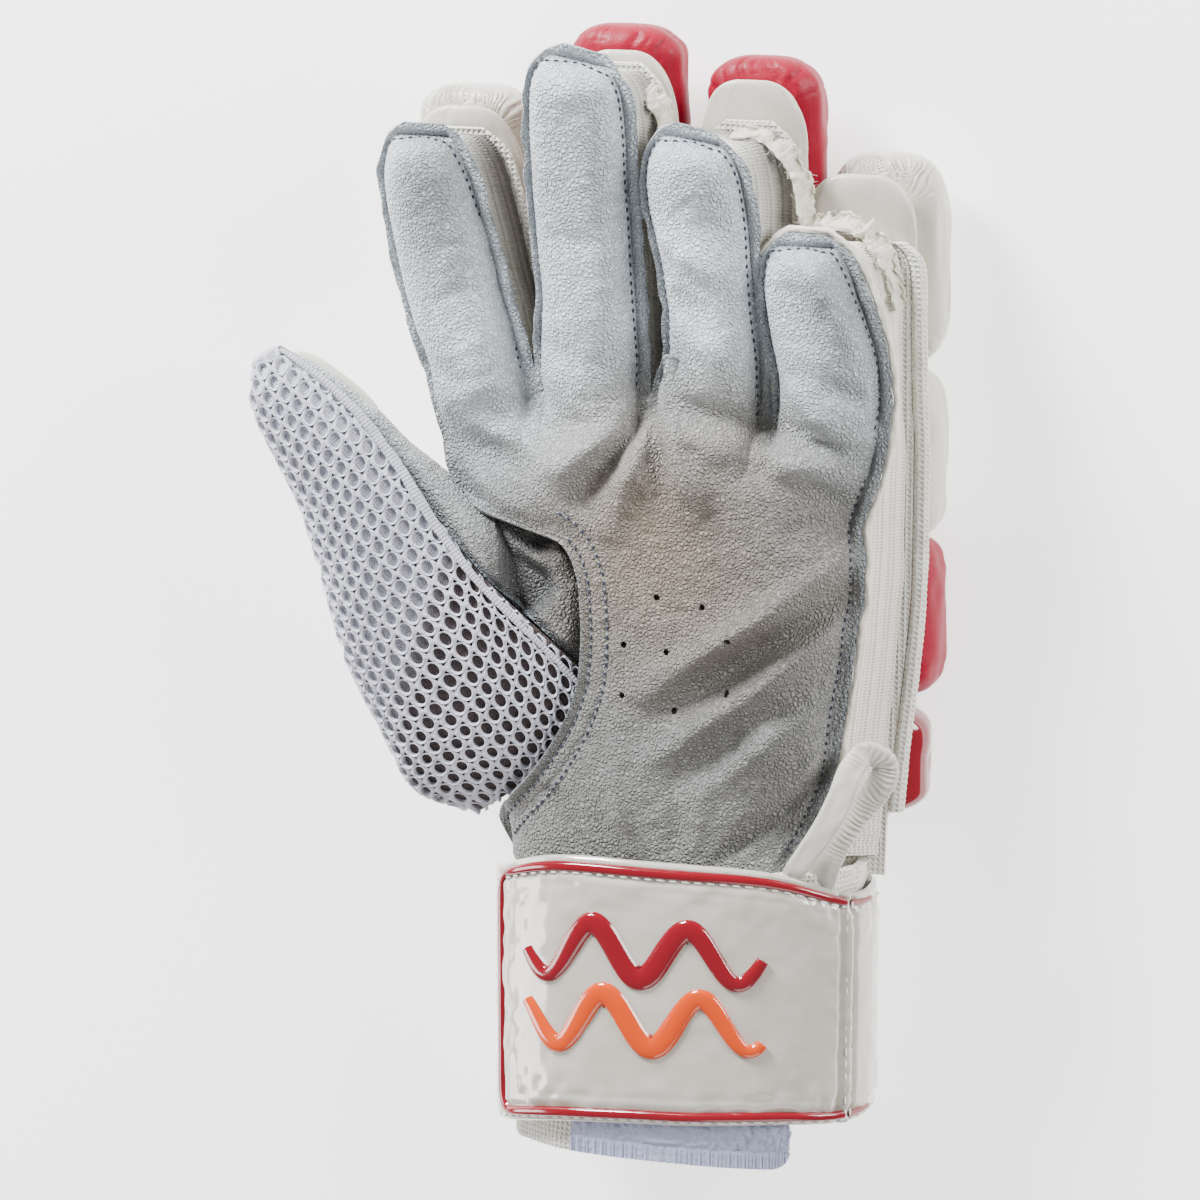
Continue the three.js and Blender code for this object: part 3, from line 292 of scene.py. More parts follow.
def soil_group():
    group, given, out = new_group("soil",
                                  [("Clean", "NodeSocketColor", (1, 1, 1, 1)),
                                   ("Soiled", "NodeSocketColor", (0.5, 0.5, 0.5, 1)),
                                   ("Size", "NodeSocketFloat", 40.0), ("Amount", "NodeSocketFloat", 0.5)],
                                  [("Color", "NodeSocketColor")])
    place = add(group, "ShaderNodeTexCoord").outputs["Object"]
    patch = add(group, "ShaderNodeTexNoise",
                {"Vector": place, "Scale": given.outputs["Size"], "Detail": 5.0,
                 "Roughness": 0.6}).outputs["Fac"]
    share = ranged(group, patch, 0.35, 0.75, 0.0, given.outputs["Amount"])
    blend = add(group, "ShaderNodeMix", {"Factor": share}, data_type="RGBA")
    group.links.new(given.outputs["Clean"], blend.inputs[6])
    group.links.new(given.outputs["Soiled"], blend.inputs[7])
    group.links.new(blend.outputs[2], out.inputs["Color"])
    return group


GRAIN, WEAVE, SOIL = grain_group(), weave_group(), soil_group()


def new_material(name, **constants):
    material = bpy.data.materials.new(name)
    material.use_nodes = True
    shader = material.node_tree.nodes["Principled BSDF"]
    for key, value in constants.items():
        shader.inputs[key.replace("_", " ")].default_value = value
    return material, material.node_tree, shader


def use_group(tree, group, **inputs):
    node = tree.nodes.new("ShaderNodeGroup")
    node.node_tree = group
    for key, value in inputs.items():
        socket = node.inputs[key.replace("_", " ")]
        if isinstance(value, bpy.types.NodeSocket):
            tree.links.new(value, socket)
        else:
            socket.default_value = value
    return node


def bump(tree, shader, height, strength, distance):
    node = add(tree, "ShaderNodeBump", {"Height": height, "Strength": strength, "Distance": distance})
    tree.links.new(node.outputs["Normal"], shader.inputs["Normal"])


def attribute(tree, name):
    return add(tree, "ShaderNodeAttribute", attribute_name=name).outputs["Fac"]


def blend_colours(tree, factor, a, b):
    node = add(tree, "ShaderNodeMix", {"Factor": factor}, data_type="RGBA")
    for socket, value in ((node.inputs[6], a), (node.inputs[7], b)):
        if isinstance(value, bpy.types.NodeSocket):
            tree.links.new(value, socket)
        else:
            socket.default_value = value
    return node.outputs[2]

# %% [markdown]
# The palm leather is cool white on the fingers. Towards the wrist it is painted a darker grey as shade,
# and a warm darker patch of painted shade lies in the middle of the palm. Its cut edge, outside the
# stitches, shows the bluish grey of the raw hide. Coated leather covers the rolls and pads, and the strap
# is glossy PVC.
# %% Materials
# Painted shade: a warm darker patch in the middle of the palm, centred here.
WARM_SHADE_SPOT = (np.array([24.0, 20.0, 34.0]) + OFFSET) / 1000


def leather_material():
    material, tree, shader = new_material("leather", Roughness=0.5, Specular_IOR_Level=0.42)
    grain = use_group(tree, GRAIN, Pebble_Size=1.05, Crease=0.15)
    place = add(tree, "ShaderNodeTexCoord").outputs["Object"]
    parts = add(tree, "ShaderNodeSeparateXYZ", {0: place})
    # Painted shade: the leather colour darkens from cool white on the fingers to grey towards the wrist.
    painted_shade_to_wrist = ranged(tree, parts.outputs["Y"], 0.07, 0.01, 0.0, 1.0)
    away = add(tree, "ShaderNodeVectorMath", {0: place, 1: WARM_SHADE_SPOT},
               operation="DISTANCE").outputs["Value"]
    warm_shade = ranged(tree, away, 0.012, 0.05, 1.0, 0.0)
    cool = use_group(tree, SOIL, Clean=(0.80, 0.86, 0.91, 1), Soiled=(0.68, 0.735, 0.775, 1), Size=45.0,
                     Amount=0.8).outputs[0]
    wrist_shade_grey = use_group(tree, SOIL, Clean=(0.25, 0.245, 0.235, 1), Soiled=(0.20, 0.195, 0.185, 1),
                      Size=38.0, Amount=0.8).outputs[0]
    shaded_to_wrist = blend_colours(tree, painted_shade_to_wrist, cool, wrist_shade_grey)
    face = blend_colours(tree, warm_shade, shaded_to_wrist, (0.27, 0.215, 0.16, 1))
    # Painted shade: the tone attribute darkens soft patches of the leather.
    patch_shaded = blend_colours(tree, attribute(tree, "tone"), face, (0.13, 0.13, 0.13, 1))
    edged = blend_colours(tree, attribute(tree, "flange"), patch_shaded, (0.27, 0.31, 0.34, 1))
    # Painted shade: the grooves between the pebbles of the grain are darkened.
    shade = ranged(tree, grain.outputs["Height"], 0.0, 0.9, 0.7, 1.04)
    grained = add(tree, "ShaderNodeVectorMath", {0: edged, 3: shade}, operation="SCALE").outputs[0]
    tree.links.new(grained, shader.inputs["Base Color"])
    bump(tree, shader, grain.outputs["Height"], 1.0, 0.0006)
    return material


def cloth_material(name, colour, soiled, across=0.0, along=0.0, fuzz=0.5, depth=0.0003, roughness=0.9,
                   painted_lighting=None):
    material, tree, shader = new_material(name, Roughness=roughness, Specular_IOR_Level=0.15,
                                          Sheen_Weight=0.25)
    soil = use_group(tree, SOIL, Clean=colour, Soiled=soiled, Size=120.0, Amount=0.8).outputs[0]
    across_ribs = calculate(tree, "MULTIPLY", attribute(tree, "across"), across)
    along_ribs = calculate(tree, "MULTIPLY", attribute(tree, "along"), along)
    weave = use_group(tree, WEAVE, Across=across_ribs, Along=along_ribs, Fuzz=fuzz)
    # The optional colour is painted lighting, mixed in by the deep attribute: painted shade at the foot
    # of the knitted walls, painted light on the thumb's net.
    shown = soil if painted_lighting is None else blend_colours(tree, attribute(tree, "deep"), soil, painted_lighting)
    tree.links.new(shown, shader.inputs["Base Color"])
    bump(tree, shader, weave.outputs[0], 0.6, depth)
    return material


def coated_material(name, colour, soiled, roughness, coat, grain=0.25, size=0.6, shine=0.5):
    material, tree, shader = new_material(name, Roughness=roughness, Specular_IOR_Level=shine,
                                          Coat_Weight=coat, Coat_Roughness=0.12)
    soil = use_group(tree, SOIL, Clean=colour, Soiled=soiled, Size=60.0, Amount=0.6).outputs[0]
    tree.links.new(soil, shader.inputs["Base Color"])
    fine = use_group(tree, GRAIN, Pebble_Size=size, Crease=1.5)
    bump(tree, shader, fine.outputs["Height"], grain, 0.00012)
    return material


LEATHER = leather_material()
# The knit's dark colour is painted shade, deepest at the foot of the walls between the fingers.
KNIT = cloth_material("knit", (0.90, 0.875, 0.79, 1), (0.80, 0.765, 0.66, 1), across=1 / 1.1,
                      along=1 / 0.8, painted_lighting=(0.12, 0.112, 0.10, 1))
TOWEL = cloth_material("towelling", (0.80, 0.78, 0.70, 1), (0.68, 0.65, 0.56, 1), across=1 / 1.3,
                       along=1 / 1.3, fuzz=2.0, depth=0.0006)
TAPE = cloth_material("loop_tape", (0.38, 0.405, 0.55, 1), (0.32, 0.345, 0.49, 1), across=1 / 0.7,
                      along=1 / 0.7, fuzz=2.2, depth=0.0004)
MESH = cloth_material("mesh_yarn", (0.55, 0.55, 0.615, 1), (0.44, 0.44, 0.50, 1), across=1 / 0.9,
                      along=1 / 0.9, fuzz=2.0, depth=0.0005)
# The net's light bluish colour is painted light, used towards the thumb's tip and its left side.
NET = cloth_material("net_lining", (0.11, 0.085, 0.085, 1), (0.07, 0.05, 0.045, 1), across=1 / 0.75,
                     along=1 / 0.75, fuzz=1.0, depth=0.0004,
                     painted_lighting=(0.74, 0.74, 0.82, 1))
THREAD = cloth_material("thread", (0.33, 0.36, 0.40, 1), (0.27, 0.30, 0.34, 1), fuzz=1.0, depth=0.0001,
                        roughness=0.6)
# Painted shade: the near-black colour of the needle pits stands for the shade inside the needle holes.
HOLE_SHADE = cloth_material("needle_hole_shade", (0.035, 0.04, 0.06, 1), (0.02, 0.022, 0.035, 1), fuzz=0.5,
                     depth=0.0001)
WHITE_THREAD = cloth_material("white_thread", (0.85, 0.84, 0.80, 1), (0.75, 0.73, 0.68, 1), fuzz=1.0,
                              depth=0.0001, roughness=0.6)
COTTON = cloth_material("cotton_fray", (0.72, 0.68, 0.585, 1), (0.56, 0.51, 0.41, 1), fuzz=1.5,
                        depth=0.0002)
CREAM = coated_material("cream_leather", (0.57, 0.535, 0.46, 1), (0.48, 0.44, 0.36, 1), 0.36, 0.25)
LOOP_LEATHER = coated_material("loop_leather", (0.55, 0.525, 0.47, 1), (0.45, 0.42, 0.36, 1), 0.45, 0.1)
RED = coated_material("red_leather", (0.27, 0.003, 0.02, 1), (0.21, 0.002, 0.014, 1), 0.46, 0.03,
                      shine=0.22)
GLOSS_RED = coated_material("gloss_red", (0.22, 0.0, 0.008, 1), (0.18, 0.0, 0.006, 1), 0.12, 1.0,
                            grain=0.04)
GLOSS_WHITE = coated_material("gloss_white", (0.54, 0.50, 0.445, 1), (0.46, 0.42, 0.35, 1), 0.14, 1.0,
                              grain=0.05, size=3.0)
ORANGE = coated_material("gloss_orange", (0.66, 0.06, 0.0, 1), (0.6, 0.05, 0.0, 1), 0.12, 1.0, grain=0.04)
print(len(bpy.data.materials), "materials")

# %% [markdown]
# The fingers of the glove are stalls. Each has a leather front and a cloth back, and a table gives,
# along the stall, how far its middle leans and how wide it is, as shares of its half width.
# %% Stalls
FLANGE = 3.4
LEFT_LESS = 1.7
DOME = 10.0
PALM_DOME = 12.0
BACK_TOP = 22.2
EDGE_Z = BACK_TOP + 10.4
ROOT_Y = 50.0
PALM_LENGTH = 115.0
NAMES = ["index", "middle", "ring", "little"]
FINGER_HALF_WIDTH = 14.4
FINGER_LENGTH = 80.0
HALF = np.array([0.9306, 1, 1.0139, 1]) * FINGER_HALF_WIDTH
LENGTH = np.array([0.775, 1, 0.8375, 0.575]) * FINGER_LENGTH
ROOT_STEP = np.array([-0.00625, 0.075, 0.025, -0.04375, -0.05]) * FINGER_LENGTH
STALL_ROWS = [
    [[0, 0, 1], [0.14, -0.15, 1.03], [0.28, -0.36, 1.05], [0.46, -0.55, 1.05], [0.65, -0.74, 1.01],
     [0.8, -0.86, 0.94], [0.9, -0.89, 0.8], [0.965, -0.88, 0.58], [1, -0.88, 0.36]],
    [[0, 0, 1], [0.12, 0, 0.99], [0.26, 0, 0.95], [0.44, -0.05, 0.97], [0.62, -0.09, 0.97],
     [0.78, -0.09, 0.96], [0.9, -0.08, 0.88], [0.965, -0.03, 0.62], [1, 0.03, 0.36]],
    [[0, 0, 1], [0.15, 0.11, 0.92], [0.32, 0.08, 0.87], [0.48, 0.02, 0.88], [0.63, -0.06, 0.93],
     [0.76, -0.15, 0.95], [0.88, -0.2, 0.86], [0.96, -0.18, 0.6], [1, -0.12, 0.34]],
    [[0, 0, 1], [0.14, 0.03, 1.01], [0.3, 0.01, 1.01], [0.46, -0.11, 0.99], [0.62, -0.24, 0.94],
     [0.77, -0.33, 0.87], [0.88, -0.36, 0.75], [0.96, -0.36, 0.54], [1, -0.36, 0.34]],
]
BEHIND_LENGTH = np.array([0.7625, 0.9625, 0.8625, 0.575]) * FINGER_LENGTH
BEHIND_LEAN = np.array([-0.7639, 0.0347, 0.2431, 0.0347]) * FINGER_HALF_WIDTH
ROLL_LEAN = np.array([-0.6944, -0.1389, 0.0972, 0.0139]) * FINGER_HALF_WIDTH
ROLL_REACH = np.array([0.8875, 1.0875, 1.00625, 0.73125]) * FINGER_LENGTH
PAD_REACH = np.array([0.8375, 1.025, 0.95, 0.68125]) * FINGER_LENGTH
ROLL_ENDS = [[0.1, 0.54, 1], [0.08, 0.36, 0.64, 1], [0.09, 0.5, 1], [0.12, 1]]
CLOTH_SPACING = 28.4
CLOTH_HALF = 13.4
root_x = -42 + np.append(0, np.cumsum([2 * h for h in HALF]))
root_y = ROOT_Y + ROOT_STEP
PALM_WIDTH = root_x[-1] - root_x[0]
PALM_MIDDLE = (root_x[0] + root_x[-1]) / 2
front = {"x": root_x, "y": root_y, "half": HALF, "length": LENGTH, "rows": STALL_ROWS}
behind = {
    "x": PALM_MIDDLE + 3.2 + (np.arange(5) - 2) * CLOTH_SPACING,
    "y": root_y - 1.5,
    "half": [CLOTH_HALF] * 4,
    "length": BEHIND_LENGTH,
    "rows": [[[0, 0, CLOTH_SPACING / 2 / CLOTH_HALF], [0.1, lean * 0.1, 1.02], [0.5, lean * 0.55, 0.98],
              [0.85, lean * 0.95, 0.94], [0.94, lean, 0.76], [1, lean, 0.42]]
             for lean in BEHIND_LEAN / CLOTH_HALF],
}


def stall_point(part, f, u, t):
    u, t = np.broadcast_arrays(np.asarray(u, float), np.asarray(t, float))
    x0, x1, y0, y1 = part["x"][f], part["x"][f + 1], part["y"][f], part["y"][f + 1]
    half, length, rows = part["half"][f], part["length"][f], part["rows"][f]

    def middle(s):
        return np.stack([(x0 + x1) / 2 + reading(rows, s, 1) * half, (y0 + y1) / 2 + s * length], -1)

    way = unit(middle(np.minimum(t + 0.06, 1)) - middle(np.maximum(t - 0.06, 0)))
    root_way = np.array([x1 - x0, y1 - y0])
    root_half = np.linalg.norm(root_way) / 2
    across = mix(root_way / (2 * root_half), np.stack([way[..., 1], -way[..., 0]], -1),
                 smooth(t / 0.25)[..., None])
    across = unit(across)
    wide = mix(root_half, reading(rows, t, 2) * half, smooth(t / 0.12))
    return middle(t) + across * (u * wide)[..., None], wide


# %% [markdown]
# Folds of the palm leather, from the photograph: a fan that spreads from between the middle and ring
# fingers, long creases from the little finger side down to the heel, and short ones above the strap.
# Each row of FOLDS holds a start, an end, a height and a half width in millimetres. The table of shade
# patches paints shade as soft darker oval patches: each row holds a middle, two half widths and an
# amount.
# %% Folds
LONG_FOLD = 28.0
FOLDS = [
    (16.5, 53, -14, 28, 3.4, 4.2), (16.5, 52, -3, 24, -3.0, 2.8), (16.2, 51, 7, 20, 2.6, 3.0),
    (17, 52, 31, 24, 3.0, 3.6), (17, 50, 20, 26, -2.6, 2.6), (14, 49, -18, 39, -2.4, 3.6),
    (19, 51, 45, 46, -3.2, 3.2), (24, 46, 56, 36, 2.4, 3.0), (46, 48, 70, 38, -3.6, 3.2),
    (44, 45, 64, 30, 2.2, 3.6), (50, 37, 66, 24, -1.8, 3.0), (69, 19, 12, -20, 3.6, 3.4),
    (68, 12, 16, -27, -3.4, 3.6), (68, 4, 14, -37, 2.2, 3.2), (66, -4, 16, -45, -1.8, 3.4),
    (58, -20, 26, -44, 1.4, 3.0), (63, -31, 32, -61, -4.2, 2.2), (65, -25, 39, -56, 3.0, 2.4),
    (59, -43, 44, -62, 2.2, 1.8), (30, -42, 27, -62, 1.4, 2.2), (6, -40, 14, -62, 2.2, 2.2),
    (-8, -46, 2, -63, -2.2, 2.4), (24, -44, 22, -62, -1.6, 2.4), (-31, 45, -4, 50, -2.2, 3.4),
    (-33, 34, -14, 22, 2.8, 2.6), (-36, 28, -20, 16, -2.6, 2.4), (-30, 39, -8, 30, -1.8, 2.4),
    (-28, 44, -8, 38, 1.4, 2.2), (22, 80, 31, 66, -3.0, 4.4), (27, 99, 37, 87, -2.4, 4.0),
    (18, 91, 33, 82, 2.2, 2.6), (21, 72, 35, 61, 2.2, 2.6), (52, 92, 70, 62, 3.0, 3.0),
    (46, 86, 57, 63, -3.0, 3.8), (57, 60, 71, 50, -2.8, 2.6), (49, 58, 61, 46, 2.4, 2.4),
    (62, 82, 70, 66, -2.0, 3.0), (-5, 118, -1, 72, -0.8, 4.0), (-45, 100, -36, 60, -0.8, 4.0),
    (-42, 57, -28, 52, -1.6, 2.6), (-14, 64, 8, 58, -1.4, 2.8), (-36, 74, -20, 78, -0.8, 2.2),
    (-12, 88, 8, 90, -0.7, 2.4),
]


def fold_height(x, y):
    height = np.zeros_like(x)
    wander = 1 + 0.22 * noise(x / 8, y / 8, 3)
    for x0, y0, x1, y1, rise, spread in FOLDS:
        dx, dy = x1 - x0, y1 - y0
        s = np.clip(((x - x0) * dx + (y - y0) * dy) / (dx * dx + dy * dy), 0, 1)
        away = np.hypot(x - x0 - s * dx, y - y0 - s * dy)
        bold = 1.4 if math.hypot(dx, dy) > LONG_FOLD else 1.0
        height += bold * rise * hill(away * wander, 1.15 * spread) * np.sin(pi * mix(0.1, 0.96, s))
    return height


SHADE_PATCHES = [
    (-38, 98, 10, 26, 0.68), (-3, 104, 12, 30, 0.36), (30, 106, 11, 14, 0.3), (63, 78, 15, 30, 0.66),
    (46, 14, 18, 20, 0.3), (33, -20, 26, 22, 0.28), (-3, -38, 16, 14, 0.12), (32, 30, 14, 20, 0.35),
    (60, 30, 16, 20, 0.3), (-28, 32, 14, 10, 0.25), (22, 60, 5, 14, 0.45), (-20, 6, 9, 15, 0.85),
    (-12, 3, 6, 8, 0.6), (-42, 34, 9, 12, 0.45), (2, 60, 4, 14, 0.2),
]


def painted_shade_at(x, y):
    left = 1 + 0 * x
    for px, py, rx, ry, amount in SHADE_PATCHES:
        left = left * (1 - amount * np.exp(-(((x - px) / rx) ** 2 + ((y - py) / ry) ** 2)))
    return 1 - left


def creases(x, y):
    bent = y + 3 * noise(x / 9, y / 9, 5)
    fine = 0.2 * noise(x / 2.1, bent / 1.7, 8)
    return 0.3 * noise(x / 4.5, bent / 3.2, 7) + fine + 0.5 * noise(x / 11, y / 12, 9)

# %% [markdown]
# The palm leather is one skin: the palm and the four finger fronts are cut from it together. It stands
# up over each finger and lies flat outside the stitches, where the cut edge wanders a little.
# %% Palm leather
PALM_ROWS = [
    [0, 0, 0, 0], [0.05, 0.013, 0.007, 0.02], [0.1, 0.03, 0.018, 0.05], [0.15, 0.04, 0.034, 0.12],
    [0.195, 0.06, 0.048, 0.28], [0.235, 0.115, 0.055, 0.5], [0.265, 0.22, 0.052, 0.7],
    [0.29, 0.31, 0.047, 0.8], [0.35, 0.352, 0.049, 0.88], [0.43, 0.362, 0.057, 0.88],
    [0.51, 0.363, 0.067, 0.88], [0.59, 0.354, 0.08, 0.88], [0.66, 0.33, 0.091, 0.86],
    [0.73, 0.292, 0.097, 0.82], [0.8, 0.242, 0.115, 0.72], [0.86, 0.188, 0.138, 0.54],
    [0.92, 0.14, 0.162, 0.28], [0.96, 0.14, 0.178, 0.05], [1, 0.16, 0.192, -0.1],
]
LEATHER_THICK = 1.15
CUFF_HALF_WIDTH = 43.0
CUFF_HALF_DEPTH = 19.8
STRAP_GROW = 1.2 + 1.05 + 2.4
CUFF_CENTRE_Z = CUFF_HALF_DEPTH + STRAP_GROW


def wrist_front(x):
    s = np.clip(np.abs(x - CUFF_CENTRE_X) / CUFF_HALF_WIDTH, 0, 1)
    return CUFF_CENTRE_Z + CUFF_HALF_DEPTH * (1 - s**2.5) ** 0.4


def left_less(u):
    return LEFT_LESS * smooth(-u * 6)


def dome_across(u, half):
    s = np.clip(np.abs(u) * half / np.maximum(half - FLANGE + left_less(u), 0.5), 0, 1)
    return (1 - s**2.05) ** 0.62


def dome_along(t, length):
    s = np.clip((t * length - (length - 3.4 * FLANGE)) / (2.4 * FLANGE), 0, 1)
    return np.sqrt(1 - s * s)


def stitch_groove(away):
    return -1.0 * hill(away - 3.5, 0.75) + 0.45 * hill(away - 1.4, 1.2)


def palm_border(down):
    y = ROOT_Y - down * PALM_LENGTH
    left = root_x[0] + reading(PALM_ROWS, down, 1) * PALM_WIDTH
    right = root_x[-1] - reading(PALM_ROWS, down, 2) * PALM_WIDTH
    return left, right, y


def palm_point(share, down, top_y, top_dome):
    left, right, y = palm_border(down)
    x = mix(left, right, share)
    y = mix(y, top_y - down * PALM_LENGTH, 1 - smooth(down / 0.3))
    flat = FLANGE / PALM_WIDTH
    inside = np.clip((1 - share - flat) / (0.28 - flat), 0, 1)
    from_left = mix(reading(PALM_ROWS, down, 3), 1, smooth(share / 0.3))
    dome = PALM_DOME * from_left * np.sin(inside * pi / 2)
    rise = mix(top_dome, dome, smooth(down / 0.16))
    to_right = right - x
    to_left = x - left
    at_left = mix(1, smooth(to_left / 5), smooth((down - 0.2) * 20))
    soft = smooth(to_right / 7) * at_left * smooth((1 - down) * 14)
    folds = (fold_height(x, y) + creases(x, y)) * soft
    edge = stitch_groove(to_right) * smooth(down * 10)
    x = x + 0.6 * noise(y / 3.6, 0 * y, 14) * smooth((5 - to_right) / 4) * smooth(down * 10)
    hole = smooth((down - 0.25) * 12)
    rim = 0.7 * hill(to_left, 1.0) - 0.5 * hill(to_left - 2.4, 0.7) - 0.45 * hill(to_left - 6.6, 0.8)
    free = EDGE_Z + rise + folds + edge + hole * rim + lift(y)
    z = mix(free, wrist_front(x) + 0.5 * folds, smooth((down - 0.82) / 0.17))
    outer = 0.3 * np.clip((3.2 - to_right) / 1.2, 0, 1) + 0.45 * np.clip((0.9 - to_right) / 0.5, 0, 1)
    flange = np.maximum(outer, hole * np.clip((0.9 - to_left) / 0.7, 0, 1) * 0.5)
    return np.stack(np.broadcast_arrays(x, y, z), -1), flange


def finger_point(f, u, t):
    plan, wide = stall_point(front, f, u, t)
    x, y = plan[..., 0], plan[..., 1]
    ragged = 0.45 * noise(x / 3.3, y / 3.3, 13)
    x = x + ragged * smooth((np.abs(u) - 0.75) * 4) * smooth(t / 0.1) * np.sign(u)
    tip_away = (1 - t) * LENGTH[f]
    side_away = wide * (1 - np.abs(u)) + left_less(u)
    away = np.minimum(side_away, tip_away)
    soft = smooth((away - 2.5) / 5)
    rise = DOME * dome_across(u, HALF[f]) * dome_along(t, LENGTH[f])
    grow = smooth(t / 0.1)
    edge = stitch_groove(away) * grow
    wavy = 0.9 * noise(x / 4.5, y / 4.5, 11) * hill(away, 2.2) * grow
    z = EDGE_Z + lift(y) + rise + (fold_height(x, y) + creases(x, y)) * soft + edge + wavy
    cut_edge = 0.45 * np.clip((0.9 - away) / 0.5, 0, 1)
    flange = 0.3 * np.clip(3.3 - away, 0, 1) * smooth(t / 0.04) + cut_edge
    return np.stack([x, y, z], -1), flange


VENTS = [
    [0.53, 0.39], [0.63, 0.4], [0.46, 0.495], [0.695, 0.465], [0.555, 0.505], [0.457, 0.605],
    [0.68, 0.583], [0.565, 0.628],
]
VENT_RADIUS = 0.8


def open_vents(palm, quads):
    rows, columns = palm.shape[:2]
    keep = np.ones((rows - 1, columns - 1), bool)
    for across, down in VENTS:
        centre = np.array([root_x[0] + across * PALM_WIDTH, ROOT_Y - down * PALM_LENGTH])
        away = np.hypot(palm[..., 0] - centre[0], palm[..., 1] - centre[1])
        i, j = np.unravel_index(away.argmin(), away.shape)
        middle = palm[i, j, :2].copy()
        for di in (-1, 0, 1):
            for dj in (-1, 0, 1):
                if di or dj:
                    way = palm[i + di, j + dj, :2] - middle
                    palm[i + di, j + dj, :2] = middle + way / np.linalg.norm(way) * VENT_RADIUS
                    palm[i + di, j + dj, 2] -= 0.15
        keep[i - 1:i + 1, j - 1:j + 1] = False
    return quads[keep.ravel()]


def build_palm_leather():
    side = np.array([-1, -0.975, -0.94, -0.9, -0.86, -0.82, -0.78, -0.74, -0.69, -0.63, -0.56, -0.48,
                     -0.4, -0.32, -0.24, -0.16, -0.08])
    us = np.concatenate([side, [0], -side[::-1]])
    columns = len(us)
    top = [stall_point(front, f, us, np.zeros(columns)) for f in range(4)]
    keep = [slice(0, columns)] + [slice(1, columns)] * 3
    top_x = np.concatenate([top[f][0][keep[f], 0] for f in range(4)])
    top_y = np.concatenate([top[f][0][keep[f], 1] for f in range(4)])
    top_dome = np.concatenate([DOME * dome_across(us, HALF[f])[keep[f]] for f in range(4)])
    share = (top_x - root_x[0]) / PALM_WIDTH
    downs = np.linspace(0, 1, 150)
    palm, palm_flange = palm_point(share[None, :], downs[:, None], top_y[None, :], top_dome[None, :])
    crotch_soft = smooth(downs / 0.02)[:, None]
    root_z = np.concatenate([finger_point(f, us, np.zeros(columns))[0][keep[f], 2] for f in range(4)])
    palm[..., 2] = mix(root_z[None, :], palm[..., 2], crotch_soft)
    quads = [open_vents(palm, grid_quads(len(downs), len(top_x), flip=True))]
    points, flange = [palm.reshape(-1, 3)], [palm_flange.ravel()]
    count = len(points[0])
    for f in range(4):
        ts = 1 - (1 - np.linspace(0, 1, int(LENGTH[f] / 0.75))) ** 1.15
        fine, edge = finger_point(f, us[None, :], ts[1:, None])
        first = f * (columns - 1)
        index = np.vstack([np.arange(first, first + columns),
                           count + np.arange(fine[..., 0].size).reshape(len(ts) - 1, columns)])
        quads.append(index_quads(index))
        points.append(fine.reshape(-1, 3))
        flange.append(edge.ravel())
        count += fine[..., 0].size
    points, flange = np.vstack(points), np.concatenate(flange)
    used, quads = np.unique(np.vstack(quads), return_inverse=True)
    points, flange, quads = points[used], flange[used], quads.reshape(-1, 4)
    # The tone attribute carries the patches of painted shade.
    facts = {"flange": flange, "tone": painted_shade_at(points[:, 0], points[:, 1])}
    return sheet("palm_leather_skin", points, quads, LEATHER_THICK, LEATHER, facts)


palm_skin = build_palm_leather()
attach(palm_skin, "root")
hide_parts("palm_leather")
print("palm leather has", len(palm_skin.data.polygons), "faces")

# %% [markdown]
# Stitches repeat along every seam, so one tree of geometry nodes makes them all: it walks along a line
# at an even pitch and sets down a short thread at each step, lying along the seam.
# %% Stitch maker
def open_tree(name, sizes):
    tree = bpy.data.node_groups.new(name, "GeometryNodeTree")
    tree.interface.new_socket("Geometry", in_out="INPUT", socket_type="NodeSocketGeometry")
    for label, value in sizes:
        tree.interface.new_socket(label, in_out="INPUT",
                                  socket_type="NodeSocketFloat").default_value = value
    tree.interface.new_socket("Seed", in_out="INPUT", socket_type="NodeSocketInt").default_value = 1
    tree.interface.new_socket("Material", in_out="INPUT", socket_type="NodeSocketMaterial")
    tree.interface.new_socket("Geometry", in_out="OUTPUT", socket_type="NodeSocketGeometry")
    return tree, tree.nodes.new("NodeGroupInput"), tree.nodes.new("NodeGroupOutput")


def close_tree(tree, given, out, copies):
    real = add(tree, "GeometryNodeRealizeInstances", {"Geometry": copies})
    paint = {"Geometry": real.outputs[0], "Material": given.outputs["Material"]}
    painted = add(tree, "GeometryNodeSetMaterial", paint)
    tree.links.new(painted.outputs[0], out.inputs[0])
    return tree


